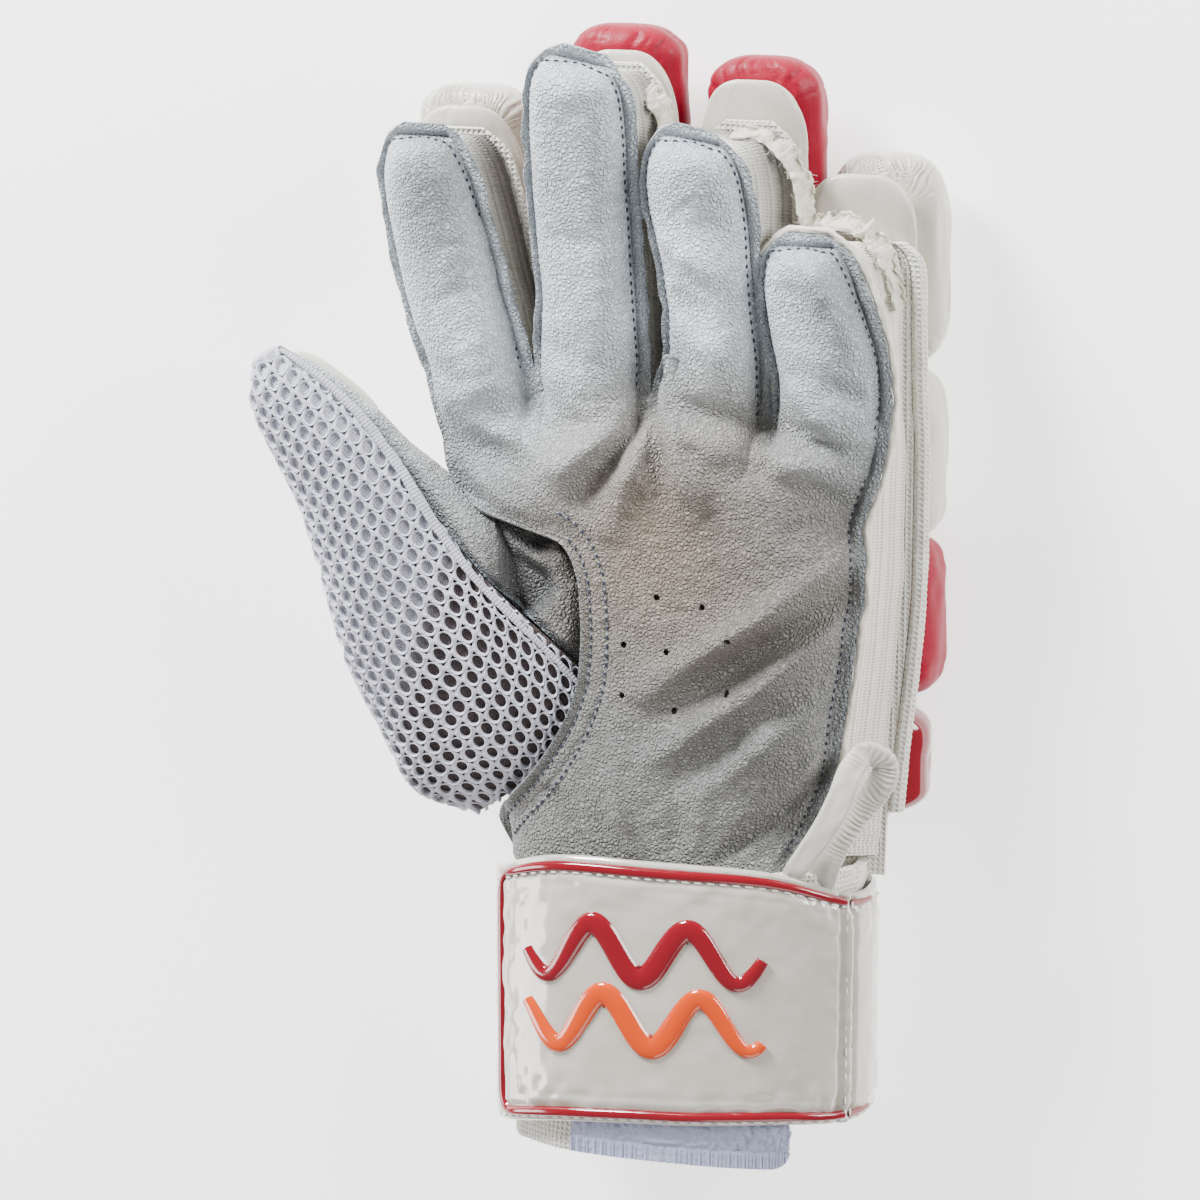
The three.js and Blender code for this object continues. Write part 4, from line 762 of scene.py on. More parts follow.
def stitch_tree():
    tree, given, out = open_tree("stitches", [("Pitch", 0.003), ("Length", 0.002), ("Thickness", 0.0006)])
    line = add(tree, "GeometryNodeMeshToCurve", {"Mesh": given.outputs["Geometry"]})
    steps = add(tree, "GeometryNodeResampleCurve",
                {"Curve": line.outputs[0], "Length": given.outputs["Pitch"]}, mode="LENGTH")
    tangent = add(tree, "GeometryNodeInputTangent")
    turn = add(tree, "FunctionNodeAlignRotationToVector", {"Vector": tangent.outputs[0]}, axis="X")
    ball = add(tree, "GeometryNodeMeshUVSphere", {"Segments": 8, "Rings": 5, "Radius": 0.5})
    wobble = add(tree, "FunctionNodeRandomValue", {2: 0.85, 3: 1.15, "Seed": given.outputs["Seed"]},
                 data_type="FLOAT")
    long = add(tree, "ShaderNodeMath", {0: given.outputs["Length"], 1: wobble.outputs[1]},
               operation="MULTIPLY")
    size = add(tree, "ShaderNodeCombineXYZ",
               {0: long.outputs[0], 1: given.outputs["Thickness"], 2: given.outputs["Thickness"]})
    put = add(tree, "GeometryNodeInstanceOnPoints",
              {"Points": steps.outputs[0], "Instance": ball.outputs["Mesh"],
               "Rotation": turn.outputs[0], "Scale": size.outputs[0]})
    return close_tree(tree, given, out, put.outputs[0])


def run_tree(name, tree, source, values, material):
    modifier = source.modifiers.new("maker", "NODES")
    modifier.node_group = tree
    sockets = {s.name: s.identifier for s in tree.interface.items_tree if s.in_out == "INPUT"}
    for label, value in values.items():
        modifier[sockets[label]] = value
    modifier[sockets["Material"]] = material
    bpy.context.view_layer.update()
    seen = source.evaluated_get(bpy.context.evaluated_depsgraph_get())
    mesh = bpy.data.meshes.new_from_object(seen)
    bpy.data.objects.remove(source)
    mesh.name = name
    mesh.materials.clear()
    mesh.materials.append(material)
    mesh.shade_smooth()
    piece = bpy.data.objects.new(name, mesh)
    bpy.context.collection.objects.link(piece)
    return piece


STITCHES = stitch_tree()


def stitch_lines(name, lines, pitch, length, thickness, material, seed=1):
    points = np.vstack(lines)
    edges, first = [], 0
    for line in lines:
        edges += [(first + i, first + i + 1) for i in range(len(line) - 1)]
        first += len(line)
    mesh = bpy.data.meshes.new(name + "_line")
    mesh.from_pydata(((points + OFFSET) * 0.001).tolist(), edges, [])
    source = bpy.data.objects.new(name + "_line", mesh)
    bpy.context.collection.objects.link(source)
    values = {"Pitch": pitch * 0.001, "Length": length * 0.001, "Thickness": thickness * 0.001,
              "Seed": seed}
    piece = run_tree(name, STITCHES, source, values, material)
    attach(piece, "root")
    return piece


# %% [markdown]
# The grey-blue thread holds the leather to the knitted walls. It runs round each finger about three and
# a half millimetres in from the cut edge, down the little finger side, and twice round the thumb hole.
# %% Stitches in the leather
SEAM = 3.5


def finger_seam(f):
    t_side = np.linspace(0.02, 1 - SEAM / LENGTH[f] * 1.25, 90)
    lines = []
    for sign in (-1, 1):
        wide = stall_point(front, f, 0, t_side)[1]
        lines.append((sign * (1 - (SEAM - left_less(sign)) / wide), t_side))
    left, right = lines
    u_top = np.linspace(left[0][-1], right[0][-1], 30)[1:-1]
    ends = np.where(u_top < 0, left[0][-1], right[0][-1])
    bow = 1 - (u_top / ends) ** 2
    t_top = left[1][-1] + (1 - SEAM / LENGTH[f] - left[1][-1]) * bow
    u = np.concatenate([left[0], u_top, right[0][::-1]])
    t = np.concatenate([left[1], t_top, right[1][::-1]])
    return finger_point(f, u, t)[0]


def palm_line(away, start, end, side):
    downs = np.linspace(start, end, 120)
    left, right, y = palm_border(downs)
    edge = np.stack([left if side < 0 else right, y], -1)
    way = unit(np.gradient(edge, axis=0))
    inward = np.stack([-way[:, 1], way[:, 0]], -1) * (1 if side < 0 else -1)
    spot = edge + inward * away
    down = np.clip((ROOT_Y - spot[:, 1]) / PALM_LENGTH, 0.001, 1)
    left, right, _ = palm_border(down)
    share = (spot[:, 0] - left) / (right - left)
    keep = (share > 0.004) & (share < 0.996)
    top_y = np.interp(share[keep], (root_x - root_x[0]) / PALM_WIDTH, root_y)
    return palm_point(share[keep], down[keep], top_y, np.zeros(keep.sum()))[0]


seams = [finger_seam(f) for f in range(4)]
rim_inner = palm_line(2.3, 0.3, 0.97, -1)
rim_outer = palm_line(6.4, 0.285, 0.93, -1)
side_seam = palm_line(3.4, 0.02, 0.93, 1)
leather_lines = seams + [rim_inner, rim_outer, side_seam]
thread = stitch_lines("leather_stitches", leather_lines, 2.2, 2.2, 0.42, THREAD)
# The needle pits are near-black dots that paint the shade of the needle holes under the thread.
hole_shade_lines = [line + np.array([0, 0, 0.12]) for line in leather_lines]
hole_shade_dots = stitch_lines("needle_hole_shade_dots", hole_shade_lines, 2.2, 1.25, 0.75, HOLE_SHADE)
print("stitches in the leather have", len(thread.data.polygons), "faces")

# %% [markdown]
# The thumb stall is a tube of two panels: open spacer mesh on the outer side and leather on the finger
# side. Its table gives the border towards the fingers (a), the outer border (b), how far the web bulges
# under the palm, the height and depth of the tube, the height of its middle and how far round the tube
# the two panels meet.
# %% Thumb shape
THUMB_RISE = 14.0
THUMB_DEPTH = 11.0
THUMB_COLUMNS = ["ax", "ay", "bx", "by", "push", "rise", "depth", "middle", "seam"]
THUMB_UNITS = [PALM_WIDTH, PALM_LENGTH, PALM_WIDTH, PALM_LENGTH, PALM_WIDTH, 1, 1, THUMB_RISE, 1]
THUMB_ROWS = [
    [0.2113, -0.2652, 0.1012, -0.9174, 0.2465, 0.5, 0.5, 0, 0.44],
    [0.1276, -0.2278, 0.044, -0.9026, 0.132, 0.86, 0.62, 0, 0.29],
    [0.0836, -0.213, -0.044, -0.867, 0.0572, 1, 0.74, 0, 0.17],
    [0.044, -0.1913, -0.11, -0.7478, 0.0132, 1.06, 0.9, 0, 0.12],
    [0, -0.1609, -0.1893, -0.5896, 0, 1.08, 1, 0.0214, 0.08],
    [-0.0572, -0.1174, -0.2377, -0.4174, 0, 1, 0.96, 0.0571, 0.05],
    [-0.1232, -0.0565, -0.2861, -0.2652, 0, 0.88, 0.86, 0.1143, 0.03],
    [-0.1981, 0.0043, -0.3389, -0.1609, 0, 0.74, 0.74, 0.1857, 0.02],
    [-0.2685, 0.0478, -0.3891, -0.0522, 0, 0.56, 0.56, 0.2571, 0.01],
    [-0.3239, 0.0713, -0.3856, 0.033, 0, 0.3, 0.3, 0.3143, 0.0],
]
THUMB_TABLE = [[i / (len(THUMB_ROWS) - 1)] + [v * size for v, size in zip(row, THUMB_UNITS)]
               for i, row in enumerate(THUMB_ROWS)]
BACK_SEAM = 0.62


def thumb_value(s, key):
    return reading(THUMB_TABLE, s, 1 + THUMB_COLUMNS.index(key))


def thumb_point(s, turn):
    s, turn = np.broadcast_arrays(np.asarray(s, float), np.asarray(turn, float))
    around = np.where(turn < 0, turn + 1, turn)
    in_front = around <= 0.5
    across = np.where(in_front, around * 2, 2 - around * 2)
    angle = pi * across
    share = (1 - np.cos(angle)) / 2
    bulge = np.maximum(np.sin(angle), 0) ** 0.85
    x = mix(thumb_value(s, "ax"), thumb_value(s, "bx"), share)
    y = mix(thumb_value(s, "ay"), thumb_value(s, "by"), share)
    squareness = mix(np.where(share < 0.5, 0.42, 0.95), 1.1, smooth(s * 5))
    web = thumb_value(s, "push") * np.maximum(np.sin(pi * share), 0) ** squareness
    x = x + np.where(in_front, web, 0)
    reach = np.where(in_front, THUMB_RISE * thumb_value(s, "rise"),
                     -THUMB_DEPTH * thumb_value(s, "depth"))
    return np.stack([root_x[0] + x, ROOT_Y + y, 31 + thumb_value(s, "middle") + reach * bulge], -1)


def thumb_seam(s):
    return thumb_value(s, "seam") / 2 + 0.04

# %% [markdown]
# The spacer mesh has rows of oval holes about four millimetres apart, and a dark net shows through
# them. Each hole is a cell of a honeycomb, bent onto the thumb: the cell's rim is a ring of yarn with a
# rounded, sunken inner edge.
# %% Thumb mesh with its holes
HOLE_PITCH = 4.7
ROW_PITCH = 3.4
HOLE_HALF_WIDTH = 1.3
HOLE_HALF_HEIGHT = 1.7
HOLE_TILT = radians(16)
HOLE_CORNERS = 18
CHART_ROWS = 90
CHART_COLUMNS = 120


def thumb_chart():
    chart = np.empty((CHART_ROWS, CHART_COLUMNS, 3))
    for i, s in enumerate(np.linspace(0, 1, CHART_ROWS)):
        dense = thumb_point(s, np.linspace(thumb_seam(s) + 0.004, BACK_SEAM, 300))
        chart[i] = even(dense, CHART_COLUMNS)
    return chart


# Painted light: the net seen through the holes is lighter towards the thumb's tip and its left side.
def painted_net_light(chart):
    x, y = chart[..., 0], chart[..., 1]
    tip = smooth((y - 8) / 40)
    left = smooth((-x - 33 + 0.36 * y) / 12)
    return np.clip(np.maximum(tip, 0.75 * left), 0, 1)


def unrolled(chart):
    rows, columns = chart.shape[:2]
    step = np.diff(chart, axis=1)
    reach = np.sqrt((step[..., 0] ** 2 + step[..., 1] ** 2) + (0.55 * step[..., 2]) ** 2)
    far = np.concatenate([np.zeros((rows, 1)), np.cumsum(reach, axis=1)], axis=1)
    way = chart[:, int(columns * 0.62), :2] - chart[:, 0, :2]
    way = unit(way)
    return chart[:, :1, :2] + way[:, None, :] * far[..., None]


def on_chart(chart, flat, tree, spots):
    rows, columns = chart.shape[:2]
    near = np.array([tree.find((spot[0], spot[1], 0))[1] for spot in spots])
    i0, j0 = near // columns, near % columns
    down_i, down_j = np.clip(i0 + 1, 0, rows - 1), np.clip(j0 + 1, 0, columns - 1)
    up_i, up_j = np.clip(i0 - 1, 0, rows - 1), np.clip(j0 - 1, 0, columns - 1)
    along_i = (flat[down_i, j0] - flat[up_i, j0]) / (down_i - up_i)[:, None]
    along_j = (flat[i0, down_j] - flat[i0, up_j]) / (down_j - up_j)[:, None]
    gap = spots - flat[i0, j0]
    area = along_i[:, 0] * along_j[:, 1] - along_i[:, 1] * along_j[:, 0]
    area = np.where(np.abs(area) < 1e-6, 1e-6, area)
    di = (gap[:, 0] * along_j[:, 1] - gap[:, 1] * along_j[:, 0]) / area
    dj = (gap[:, 1] * along_i[:, 0] - gap[:, 0] * along_i[:, 1]) / area
    i = np.clip(i0 + np.clip(di, -1, 1), 0, rows - 1.001)
    j = np.clip(j0 + np.clip(dj, -1, 1), 0, columns - 1.001)
    a, b = i.astype(int), j.astype(int)
    fi, fj = (i - a)[:, None], (j - b)[:, None]
    low = mix(chart[a, b], chart[a, b + 1], fj)
    high = mix(chart[a + 1, b], chart[a + 1, b + 1], fj)
    outside = (np.abs(di) > 1.6) | (np.abs(dj) > 1.6)
    return mix(low, high, fi), i, j, outside


def build_thumb_mesh():
    chart = thumb_chart()
    quads = grid_quads(CHART_ROWS, CHART_COLUMNS, flip=True)
    normals = vertex_normals(chart.reshape(-1, 3), quads).reshape(chart.shape)
    flat = unrolled(chart)
    tree = KDTree(CHART_ROWS * CHART_COLUMNS)
    for k, spot in enumerate(flat.reshape(-1, 2)):
        tree.insert((spot[0], spot[1], 0), k)
    tree.balance()
    up_way = np.array([-math.sin(HOLE_TILT), math.cos(HOLE_TILT)])
    right_way = np.array([up_way[1], -up_way[0]])
    corners = flat.reshape(-1, 2)
    lows = np.array([(corners @ right_way).min(), (corners @ up_way).min()]) - 6
    highs = np.array([(corners @ right_way).max(), (corners @ up_way).max()]) + 6
    ring = np.arange(HOLE_CORNERS) * pi / 9 + pi / 6
    corner = np.cos(pi / 6) / np.cos((ring - pi / 6) % (pi / 3) - pi / 6)
    centres = []
    for r in range(int((highs[1] - lows[1]) / ROW_PITCH)):
        for c in range(int((highs[0] - lows[0]) / HOLE_PITCH)):
            across = lows[0] + (c + 0.5 * (r % 2)) * HOLE_PITCH
            centres.append((across, lows[1] + r * ROW_PITCH, scatter(r, c, 4)))
    centres = np.array(centres)
    found = on_chart(chart, flat, tree, centres[:, :1] * right_way + centres[:, 1:2] * up_way)
    centres = centres[~found[3]]
    outline = [(1.0, 0.0, 0), (0.9, 0.2, 0.25), (1.24, 0.34, 1), (1.12, 0.3, 1),
               (1.0, 0.0, 1), (0.98, -0.45, 1), (1.04, -1.0, 1)]
    rings = []
    for reach, up, rounded in outline:
        size = 0.92 + 0.14 * centres[:, 2:3]
        hex_across = np.sin(ring) * corner * HOLE_PITCH / np.sqrt(3)
        hex_along = -np.cos(ring) * corner * ROW_PITCH / 1.5
        across = mix(hex_across[None, :], np.sin(ring)[None, :] * HOLE_HALF_WIDTH * size, rounded) * reach
        along = mix(hex_along[None, :], -np.cos(ring)[None, :] * HOLE_HALF_HEIGHT * size, rounded) * reach
        rings.append(np.stack([centres[:, :1] + across, centres[:, 1:2] + along,
                               np.full(across.shape, up)], -1))
    cells = np.stack(rings, 1)
    spots = cells.reshape(-1, 3)
    plan = spots[:, :1] * right_way + spots[:, 1:2] * up_way
    points, i, j, _ = on_chart(chart, flat, tree, plan)
    away = normals[i.astype(int), j.astype(int)]
    points = points + away * spots[:, 2:]
    on_rim = (i <= 0.01) | (i >= CHART_ROWS - 1.02) | (j <= 0.01) | (j >= CHART_COLUMNS - 1.02)
    index = np.arange(len(points)).reshape(len(centres), len(outline), HOLE_CORNERS)
    nxt = np.roll(index, -1, axis=2)
    faces = np.stack([index[:, :-1], nxt[:, :-1], nxt[:, 1:], index[:, 1:]], -1).reshape(-1, 4)
    faces = faces[~on_rim[faces].all(axis=1)]
    deep = (spots[:, 2] < -0.5) * 1.0
    yarn = make("thumb_mesh_yarn", points, faces.tolist(), MESH, {"deep": deep}, sharp=80)
    lining = chart - normals * 1.1
    widths = np.linalg.norm(np.diff(chart, axis=1), axis=2).sum(1)
    lengths = path_lengths(chart[:, CHART_ROWS // 2])
    across = np.tile(np.linspace(0, 1, CHART_COLUMNS), CHART_ROWS) * np.repeat(widths, CHART_COLUMNS)
    facts = {"across": across, "along": np.repeat(lengths, CHART_COLUMNS),
             "deep": painted_net_light(chart).ravel()}
    net = make("thumb_mesh_net", lining.reshape(-1, 3), quads, NET, facts)
    return yarn, net


def build_mesh_edge():
    ss = np.linspace(0.02, 0.985, 240)
    spine = thumb_point(ss, thumb_seam(ss) + 0.016)
    above = thumb_point(ss, thumb_seam(ss) + 0.05)
    way = unit(np.gradient(spine, axis=0))
    across = above - spine
    across -= way * (across * way).sum(1, keepdims=True)
    across = unit(across)
    up = np.cross(across, way)
    up *= np.sign(up[:, 2:3])
    angle = turns(24)
    far = path_lengths(spine)[:, None]
    size = np.clip(np.sin(pi * mix(0.06, 0.93, ss)), 0.1, 1)[:, None] ** 0.6
    fluffy = 1 + 0.1 * noise(far / 1.6, angle, 24) + 0.12 * noise(far / 7, angle, 25)
    wide, tall = 1.3 * size * fluffy, 0.9 * size * fluffy
    sideways = (wide * np.cos(angle))[..., None] * across[:, None, :]
    rings = spine[:, None, :] + sideways + (tall * np.sin(angle) + 0.5)[..., None] * up[:, None, :]
    facts = {"deep": 0 * wide, "across": 2 * angle + 0 * wide, "along": far + 0 * wide}
    return loft("thumb_mesh_edge", rings, MESH, facts)


TIP_ROUND = 1.6
TIP_COLUMNS = 60


def build_tip_cap():
    around = np.linspace(0, 1, TIP_COLUMNS, endpoint=False)
    end_ring, inner_ring = thumb_point(1.0, around), thumb_point(0.97, around)
    middle, inner_middle = end_ring.mean(0), inner_ring.mean(0)
    way = (middle - inner_middle) / np.linalg.norm(middle - inner_middle)
    swell = np.linspace(0, pi / 2 * 0.97, 12)[:, None, None]
    dome = middle + (end_ring - middle) * 0.98 * np.cos(swell) + way * TIP_ROUND * np.sin(swell)
    start = inner_middle + (inner_ring - inner_middle) * 0.8
    return loft("thumb_tip_cap", np.concatenate([start[None], dome]), MESH,
                {"deep": np.zeros(13 * TIP_COLUMNS)})


thumb_yarn, thumb_net = build_thumb_mesh()
mesh_edge = build_mesh_edge()
tip_cap = build_tip_cap()
for piece in (thumb_yarn, thumb_net, mesh_edge, tip_cap):
    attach(piece, "root")
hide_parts("thumb_mesh")
print("thumb mesh has", len(thumb_yarn.data.polygons), "faces")

# %% [markdown]
# The leather panel of the thumb folds into a pocket where it meets the palm. Along the seam with the
# mesh its edge stands up in a soft welt, with a groove where the two meet. Painted shade darkens that
# groove, the pocket, the line along the rim of the palm leather and soft patches.
# %% Thumb leather
HOLLOW = [
    (-24.5, 20.5), (-22, 13.4), (-22, 6.7), (-20.3, 0), (-17.2, -3.5), (-12.2, -3.2), (-8.4, 0.7),
    (-7, 5), (-8.8, 9.3), (-13.2, 11.8), (-18.2, 14.6), (-22.8, 20),
]
STRIP_EDGE = [
    (-56, 56), (-47, 45), (-40.1, 36.8), (-34.4, 30.6), (-29.4, 24.8), (-24.6, 20.7), (-22.9, 14.3),
    (-21.7, 7.7), (-21, 0.9), (-20, -4.5), (-17.5, -8.7), (-14, -11.9), (-4.7, -17.4),
]
RIM_LINE = [
    (-13, 15), (-8.1, 16.5), (-4.6, 15.5), (-2.2, 11.6), (-0.7, 3.1), (-0.7, -9.1), (-2, -19),
    (-5.7, -29.2), (-10.8, -38.2), (-17.1, -47.5),
]


def line_away(x, y, line):
    away, side = np.full(x.shape, 1e9), np.ones(x.shape)
    for (x0, y0), (x1, y1) in zip(line[:-1], line[1:]):
        dx, dy = x1 - x0, y1 - y0
        s = np.clip(((x - x0) * dx + (y - y0) * dy) / (dx * dx + dy * dy), 0, 1)
        here = np.hypot(x - x0 - s * dx, y - y0 - s * dy)
        turned = np.sign(dx * (y - y0) - dy * (x - x0))
        side = np.where(here < away, turned, side)
        away = np.minimum(away, here)
    return away, side


def hollow_depth(x, y, outline, soft):
    away, _ = line_away(x, y, outline + outline[:1])
    inside = np.zeros(x.shape, bool)
    for (x0, y0), (x1, y1) in zip(outline, outline[1:] + outline[:1]):
        crossed = ((y0 > y) != (y1 > y)) & (x < (x1 - x0) * (y - y0) / (y1 - y0 + 1e-9) + x0)
        inside ^= crossed
    return np.where(inside, smooth(away / soft), 0)


def build_thumb_leather():
    ss = np.linspace(0, 1, 190)[:, None]
    share = np.linspace(0, 1, 150)[None, :]
    first = BACK_SEAM - 1 + 0.004 + 0 * ss
    turn = mix(first, thumb_seam(ss) + 0.002, share)
    points = thumb_point(ss, turn)
    quads = grid_quads(190, 150, flip=True)
    normals = vertex_normals(points.reshape(-1, 3), quads).reshape(points.shape)
    along_section = np.linalg.norm(np.diff(points, axis=1, append=points[:, -1:]), axis=2)
    welt = np.cumsum(along_section[:, ::-1], axis=1)[:, ::-1]
    x, y = points[..., 0], points[..., 1]
    groove = -2.6 * hill(welt, 2.4)
    edge_away, edge_side = line_away(x, y, STRIP_EDGE)
    on_strip = np.where(edge_side < 0, 1.0, 0.0)
    beside = -1.6 * smooth(edge_away / 1.6) * np.exp(-edge_away / 7)
    strip_rise = np.where(edge_side < 0, 1.3 * smooth(edge_away / 2.5), beside)
    hollow = hollow_depth(x, y, HOLLOW, 3.4)
    knob = 2.6 * np.exp(-(((x + 7.6) ** 2 + (y - 12.6) ** 2) / 3.3 ** 2))
    band = 1.2 * np.exp(-(((x + 10) / 8) ** 2 + ((y + 9) / 4.5) ** 2))
    rim_away, _ = line_away(x, y, RIM_LINE)
    rim = -2.4 * hill(rim_away, 2.6)
    soft = 0.8 * noise(x / 8, y / 8, 21) + creases(x, y)
    in_front = smooth((turn + 0.04) * 14)
    shaped = strip_rise - 5.2 * hollow + knob + band + rim + soft
    rise = groove * smooth((1 - ss) * 8) + shaped * in_front
    points = points + normals * rise[..., None]
    points[..., 2] = np.minimum(points[..., 2], 60)
    flange = hill(welt, 0.8) * 0.8
    # Painted shade: darker in the pocket, along the rim line, in the groove at the welt and in soft
    # patches, and less on the raised strip.
    painted_lighting = painted_shade_at(x, y) * (1 - 0.55 * on_strip) + 0.7 * hollow
    painted_lighting = np.clip(painted_lighting + 0.75 * hill(rim_away, 1.6) + 0.8 * hill(welt, 2.2), 0, 0.95)
    facts = {"flange": flange.ravel(), "tone": (painted_lighting * in_front).ravel()}
    return sheet("thumb_leather_skin", points.reshape(-1, 3), quads, LEATHER_THICK, LEATHER, facts)


thumb_skin = build_thumb_leather()
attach(thumb_skin, "root")
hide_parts("thumb_leather")
print("thumb leather has", len(thumb_skin.data.polygons), "faces")

# %% [markdown]
# Ribbed knit closes the sides of every finger and lets the glove stretch. Each wall is a ribbon that
# runs from one fingertip down into the crotch and up to the next tip, between the leather in front and
# the cloth behind. The two outer walls run on beside the palm.
# %% Knitted walls
WALL_INSET = 0.86
TIP_SEAM = 0.004


def stop(f, u, t):
    high = stall_point(front, f, u * WALL_INSET, t * 0.955)[0]
    low = stall_point(behind, f, u * WALL_INSET, t * 0.97)[0]
    return np.concatenate([high, low])


SIDE_STOPS = [1, 0.93, 0.8, 0.64, 0.48, 0.32, 0.16, 0.05]


def knit_wall(name, stops, node, columns, shade=0.6):
    path = curve_through(stops, columns)
    high = np.column_stack([path[:, :2], EDGE_Z - 1.2 - 0.75 + lift(path[:, 1])])
    low = np.column_stack([path[:, 2:], BACK_TOP + 0.6 + lift(path[:, 3])])
    levels = np.linspace(0, 1, 46)
    grid = low[None] + (high - low)[None] * levels[:, None, None]
    quads = grid_quads(len(levels), columns)
    normals = vertex_normals(grid.reshape(-1, 3), quads).reshape(grid.shape)
    normals[..., 2] = 0
    tall = np.linalg.norm(high - low, axis=1)[None, :] * levels[:, None]
    far = path_lengths(high)[None, :] + 0 * tall
    rib = 0.22 * np.sin(tall * 2 * pi / 1.7) + 0.5 * noise(far / 9, tall / 6, 31) - 0.25
    wrist = smooth((-42 - high[:, 1][None, :]) / 8)
    loops = 0.55 * np.sin(tall * 2 * pi / 2.3) * np.sin(
        far * 2 * pi / 2.3 + pi * np.floor(tall / 1.15) * 0.5)
    grid = grid + normals * mix(rib, loops + 0.6 * noise(far / 3, tall / 3, 33), wrist)[..., None]
    # Painted shade: the knit darkens towards the foot of each wall, and shade sets how much.
    deep = smooth(1 - levels[:, None] * 0.75) * np.ones_like(tall)
    facts = {"across": tall.ravel(), "along": far.ravel(), "deep": deep.ravel() * shade}
    piece = sheet(name, grid.reshape(-1, 3), quads, 1.0, KNIT, facts, level=True)
    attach(piece, "root")
    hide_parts(node)
    return piece


def palm_stop(down, side):
    left, right, y = palm_border(down)
    x = (left if side < 0 else right) - side * (1 - WALL_INSET) * HALF[0]
    return np.array([x, y, back_edge(0.015 if side < 0 else 0.985, down), y])


def back_edge(share, down):
    left, right = behind["x"][0], behind["x"][-1]
    drawn = (right - left) * smooth((down - 0.3) / 0.7)
    return mix(left + 0.13 * drawn, right - 0.05 * drawn, share)


walls = []
for f in range(3):
    going_down = [stop(f, 1, t) for t in SIDE_STOPS]
    going_up = [stop(f + 1, -1, t) for t in SIDE_STOPS[::-1]]
    crotch = np.array([front["x"][f + 1], front["y"][f + 1] - 1.6, behind["x"][f + 1],
                       behind["y"][f + 1] - 1.6])
    first_tip = [stop(f, TIP_SEAM, 1), stop(f, 0.55, 1)]
    next_tip = [stop(f + 1, -0.55, 1), stop(f + 1, -TIP_SEAM, 1)]
    stops = first_tip + going_down + [crotch] + going_up + next_tip
    node = f"knit_{NAMES[f]}_{NAMES[f + 1]}"
    walls.append(knit_wall(f"{node}_cloth", stops[::-1], node, 260, shade=1.0 if f == 0 else 0.8))
little = [stop(3, TIP_SEAM, 1), stop(3, 0.55, 1)] + [stop(3, 1, t) for t in SIDE_STOPS]
little += [palm_stop(d, 1) for d in np.linspace(0.05, 0.955, 10)]
walls.append(knit_wall("knit_little_side_cloth", little[::-1], "knit_little_side", 300, shade=0.0))
outer = [stop(0, -TIP_SEAM, 1), stop(0, -0.55, 1)] + [stop(0, -1, t) for t in SIDE_STOPS]
outer += [palm_stop(d, -1) for d in (0.05, 0.1, 0.15, 0.195)]
walls.append(knit_wall("knit_index_side_cloth", outer, "knit_index_side", 160))
print(len(walls), "knitted walls")

# %% [markdown]
# Raw cotton edges stick out at the fingertips beside the leather: a ragged band of cloth with loose
# threads. The threads are short bent hairs that a tree of geometry nodes scatters over the band.
# %% Frayed cotton at the fingertips
FRAYS = {
    "middle": [(4, 125, 2.4), (9, 124.4, 3.4), (14, 121, 4.6), (16.5, 115.5, 4.2), (17.2, 108, 3),
               (17.4, 98, 1.6)],
    "ring": [(33, 115, 2), (39, 114.4, 2.8), (45, 110, 4), (48.6, 103.5, 4), (50.4, 94, 3.2),
             (50.8, 84, 2)],
    "little": [(50.5, 93.5, 3), (56, 93.8, 4.4), (62, 92.6, 4.8), (67, 88.6, 4.4), (70.4, 82, 3),
               (72.4, 74, 2)],
}


FRAY_STEPS = 150
FRAY_COLUMNS = 9
FRAY_REACH = 0.78


def build_fray(name, route, seed):
    path = curve_through(route, FRAY_STEPS)
    way = unit(np.gradient(path[:, :2], axis=0))
    out = np.column_stack([way[:, 1], -way[:, 0]])
    half_way = len(out) // 2
    out *= np.where((out[half_way] * (path[half_way, :2] - path[:, :2].mean(0))).sum() < 0, -1, 1)
    share = np.linspace(0, 1, FRAY_COLUMNS)[None, :]
    far = np.arange(FRAY_STEPS)[:, None] * 0.4
    ragged = 1 + 0.3 * noise(far / 1.6, share * 0, seed) + 0.1 * noise(far / 0.6, share * 0, seed + 1)
    reach = FRAY_REACH * path[:, 2:] * ragged * share
    curl = 0.8 * np.sin(share * 5 + 2 * noise(far / 5, share, seed + 2))
    folded = curl + 0.7 * noise(far / 2.2, share * 3, seed + 3)
    x = path[:, :1] - 1.2 * out[:, :1] + out[:, :1] * reach
    y = path[:, 1:2] - 1.2 * out[:, 1:] + out[:, 1:] * reach
    z = BACK_TOP + 1.6 + 3.4 * (1 - share) ** 1.5 + folded + lift(y)
    points = np.stack([x, y, z], -1)
    quads = facing_up(points, grid_quads(FRAY_STEPS, FRAY_COLUMNS))
    facts = {"across": reach.ravel(), "along": (far + 0 * share).ravel()}
    return sheet(f"{name}_fray_band", points.reshape(-1, 3), quads, 0.5, COTTON, facts)


